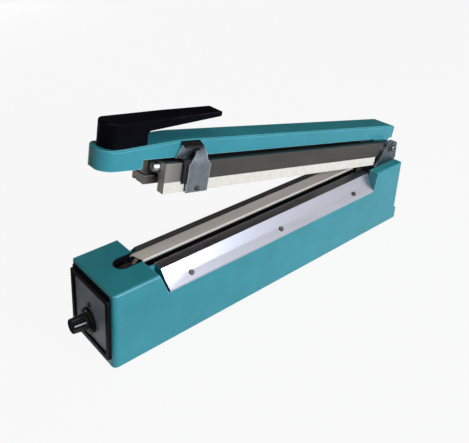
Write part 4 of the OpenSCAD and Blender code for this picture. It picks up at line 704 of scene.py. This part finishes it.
def dial_ticks():
    """Ten printed strokes round the knob, made by a node tree with named sizes."""
    tree = bpy.data.node_groups.new("dial_ticks", "GeometryNodeTree")
    face = tree.interface
    face.new_socket("Geometry", in_out="OUTPUT", socket_type="NodeSocketGeometry")
    wanted = {"Strokes": ("NodeSocketInt", 10), "Sweep": ("NodeSocketFloat", math.radians(300)),
              "Radius": ("NodeSocketFloat", 16.2 * MM), "Length": ("NodeSocketFloat", 2.2 * MM),
              "Width": ("NodeSocketFloat", 0.7 * MM), "Thickness": ("NodeSocketFloat", 0.06 * MM)}
    sockets = {name: face.new_socket(name, in_out="INPUT", socket_type=kind)
               for name, (kind, _) in wanted.items()}
    given = add(tree, "NodeGroupInput")
    points = add(tree, "GeometryNodePoints", {"Count": given["Strokes"]})
    index = add(tree, "GeometryNodeInputIndex")
    # Ten strokes on a scale of eleven places, because the lamp stands in the middle one
    late = add(tree, "FunctionNodeCompare", {0: index[0], 1: 4.5},
               data_type="FLOAT", operation="GREATER_THAN")
    place = add(tree, "ShaderNodeMath", {0: index[0], 1: late[0]}, operation="ADD")
    share = add(tree, "ShaderNodeMath", {0: place[0], 1: given["Strokes"]}, operation="DIVIDE")
    centred = add(tree, "ShaderNodeMath", {0: share[0], 1: 0.5}, operation="SUBTRACT")
    angle = add(tree, "ShaderNodeMath", {0: centred[0], 1: given["Sweep"]}, operation="MULTIPLY")
    turn = add(tree, "ShaderNodeCombineXYZ", {"Z": angle[0]})
    size = add(tree, "ShaderNodeCombineXYZ",
               {"X": given["Length"], "Y": given["Width"], "Z": given["Thickness"]})
    stroke = add(tree, "GeometryNodeMeshCube", {"Size": size[0]})
    out = add(tree, "ShaderNodeCombineXYZ", {"X": given["Radius"]})
    moved = add(tree, "GeometryNodeTransform", {"Geometry": stroke["Mesh"], "Translation": out[0]})
    ring = add(tree, "GeometryNodeInstanceOnPoints",
               {"Points": points[0], "Instance": moved[0], "Rotation": turn[0]})
    real = add(tree, "GeometryNodeRealizeInstances", {"Geometry": ring[0]})
    inked = add(tree, "GeometryNodeSetMaterial", {"Geometry": real[0], "Material": INK})
    add(tree, "NodeGroupOutput", {"Geometry": inked[0]})
    holder = bpy.data.objects.new("dial_ticks_source", bpy.data.meshes.new("dial_ticks_source"))
    scene.collection.objects.link(holder)
    modifier = holder.modifiers.new("ticks", "NODES")
    modifier.node_group = tree
    for name, (_, value) in wanted.items():
        modifier[sockets[name].identifier] = value
    depsgraph = bpy.context.evaluated_depsgraph_get()
    mesh = bpy.data.meshes.new_from_object(holder.evaluated_get(depsgraph))
    bpy.data.objects.remove(holder)
    mesh.transform(PANEL @ Matrix.Translation(mm(KNOB_UP, KNOB_SIDE, PLATE_FACE)))
    mesh.materials.clear()
    made("dial_ticks", mesh, INK, "base")


def dial_numbers():
    """Plain printed numbers at every other stroke."""
    # Millimetres, then degrees from twelve o'clock: the first number, and one step of the scale
    height, radius, thick = 3.3, 19.1, 0.03
    first_turn, step_turn = -150, 30
    mesh_data = bmesh.new()
    for number in range(0, 11, 2):
        turn = math.radians(step_turn * number + first_turn)
        words = bpy.data.curves.new("dial_number", "FONT")
        words.body = str(number)
        words.size = height * MM
        words.align_x, words.align_y = "CENTER", "CENTER"
        words.extrude = thick * MM
        holder = bpy.data.objects.new("dial_number", words)
        scene.collection.objects.link(holder)
        depsgraph = bpy.context.evaluated_depsgraph_get()
        mesh = bpy.data.meshes.new_from_object(holder.evaluated_get(depsgraph))
        bpy.data.objects.remove(holder)
        # The text's own x runs towards the near side and its y up the panel
        upright = Matrix(((0, 1, 0, 0), (-1, 0, 0, 0), (0, 0, 1, 0), (0, 0, 0, 1)))
        spot = mm(KNOB_UP + radius * math.cos(turn), KNOB_SIDE - radius * math.sin(turn), PLATE_FACE)
        mesh.transform(PANEL @ Matrix.Translation(spot) @ upright)
        mesh_data.from_mesh(mesh)
    mesh = bpy.data.meshes.new("dial_numbers")
    mesh_data.to_mesh(mesh)
    mesh_data.free()
    made("dial_numbers", mesh, INK, "base")


bed_cloth()
wound_spring()
slot_liner()
# The plate's printed black border inside the bezel, and the gasket behind the bezel, which shows above it
panel_frame("plate_border", (13.0, 71.5, 31.0, 2.0), (14.0, 68.5, 30.0, 1.4),
            PLATE_FACE + 0.01, PLATE_FACE + 0.06)
panel_frame("bezel_gasket", (7.7, 79.8, 36.3, 4.3), (7.95, 76.54, 36.05, 4.05), 0.03, 0.45)
fluted_knob()
knob_marks()
dial_ticks()
dial_numbers()


# Floor, light and camera
def stage_plane(name, corners, material):
    """A flat four-cornered piece of the studio."""
    mesh = bpy.data.meshes.new(name)
    mesh.from_pydata(corners, [], [(0, 1, 2, 3)])
    mesh.materials.append(material)
    plane = bpy.data.objects.new(name, mesh)
    scene.collection.objects.link(plane)
    return plane


def seen_directly(tree):
    """One for rays that the camera sees, straight, in gloss or through a clear piece, and zero for light."""
    path = add(tree, "ShaderNodeLightPath")
    bright = add(tree, "ShaderNodeMath", {0: path["Is Camera Ray"], 1: path["Is Glossy Ray"]},
                 operation="MAXIMUM")
    return add(tree, "ShaderNodeMath", {0: bright[0], 1: path["Is Transmission Ray"]}, operation="MAXIMUM")


def empty_material(name):
    """A new material without nodes, and its tree."""
    material = bpy.data.materials.new(name)
    material.use_nodes = True
    material.node_tree.nodes.clear()
    return material, material.node_tree


def pale_floor(name, glow):
    """Pale sweep: white to the camera and in reflections, and still dull enough to keep the soft shadow."""
    material, tree = empty_material(name)
    paper = add(tree, "ShaderNodeBsdfDiffuse", {"Color": linear("#b2b2b0")})
    light = add(tree, "ShaderNodeEmission", {"Color": linear("#ffffff")})
    share = add(tree, "ShaderNodeMath", {0: seen_directly(tree)[0], 1: glow}, operation="MULTIPLY")
    mixed = add(tree, "ShaderNodeMixShader", {0: share[0], 1: paper[0], 2: light[0]})
    add(tree, "ShaderNodeOutputMaterial", {"Surface": mixed[0]})
    return material


def dark_card(name):
    """A flag's dull dark card, which puts an even deep tone into the gloss."""
    material, tree = empty_material(name)
    card = add(tree, "ShaderNodeEmission", {"Color": linear("#383330")})
    add(tree, "ShaderNodeOutputMaterial", {"Surface": card[0]})
    return material


# Metres from the middle to the floor's edges
REACH = 30
stage_plane("floor", [(-REACH, -REACH, 0), (REACH, -REACH, 0), (REACH, REACH, 0), (-REACH, REACH, 0)],
            pale_floor("matt_white_floor", 0.92))
# Two studio flags, behind the object and on the floor beside its front, seen only in gloss:
# they keep the level faces and the front deep in colour
CARD_GREY = dark_card("matt_black_card")
flag = stage_plane("flag", [(-1.2, 1.5, 0.02), (2.4, -0.4, 0.02), (2.4, -0.4, 2.3), (-1.2, 1.5, 2.3)],
                   CARD_GREY)
low_flag = stage_plane("low_flag", [(-1.1, -0.1, 0.002), (-0.24, -0.1, 0.002), (-0.24, 0.8, 0.002),
                                    (-1.1, 0.8, 0.002)], CARD_GREY)
for card in (flag, low_flag):
    card.visible_camera = False
    card.visible_diffuse = False
    card.visible_transmission = False
    card.visible_volume_scatter = False
    card.visible_shadow = False

world = bpy.data.worlds.new("studio")
scene.world = world
world.use_nodes = True
sky = world.node_tree
sky.nodes.clear()
# The world is faint as light, and white where it is seen
strength = add(sky, "ShaderNodeMapRange", {"Value": seen_directly(sky)[0], "To Min": 0.12, "To Max": 0.93})
backdrop = add(sky, "ShaderNodeBackground", {"Color": linear("#ffffff"), "Strength": strength[0]})
add(sky, "ShaderNodeOutputWorld", {"Surface": backdrop[0]})


def soft_light(name, place, target, size, power, tint):
    """A soft lamp: metres for its place, its target and its size, watts for its power."""
    lamp = bpy.data.lights.new(name, "AREA")
    lamp.color = linear(tint)[:3]
    lamp.shape = "RECTANGLE"
    lamp.size, lamp.size_y = size
    lamp.energy = power
    holder = bpy.data.objects.new(name, lamp)
    scene.collection.objects.link(holder)
    holder.location = place
    holder.rotation_euler = (Vector(target) - Vector(place)).to_track_quat("-Z", "Y").to_euler()


# A cool key in front of the near side, a warm top and a weak fill behind
soft_light("key", (0.2, -1.64, 0.74), (0.0, 0.0, 0.08), (0.6, 0.8), 36.5, "#e4ecff")
soft_light("top", (0.2, -0.4, 1.9), (0.0, 0.0, 0.1), (1.2, 1.2), 5.2, "#ffedb8")
soft_light("fill", (0.1, 1.7, 0.25), (0.0, 0.0, 0.1), (0.8, 0.4), 5, "#ffffff")

# The camera, fitted to the object's edges: focal length and picture width in pixels, place in metres and
# angles in degrees
FOCAL_PX, PICTURE_PX, SENSOR_MM = 576.35, 469, 36.0
CAMERA_AT = (-0.37121, -0.40986, 0.41155)
LOOK_DOWN, LOOK_ROUND = 32.02, -40.05
camera_data = bpy.data.cameras.new("camera")
camera_data.sensor_fit = "HORIZONTAL"
camera_data.sensor_width = SENSOR_MM
camera_data.lens = FOCAL_PX * SENSOR_MM / PICTURE_PX
camera = bpy.data.objects.new("camera", camera_data)
scene.collection.objects.link(camera)
camera.location = CAMERA_AT
camera.rotation_euler = (math.radians(90 - LOOK_DOWN), 0, math.radians(LOOK_ROUND))
scene.camera = camera
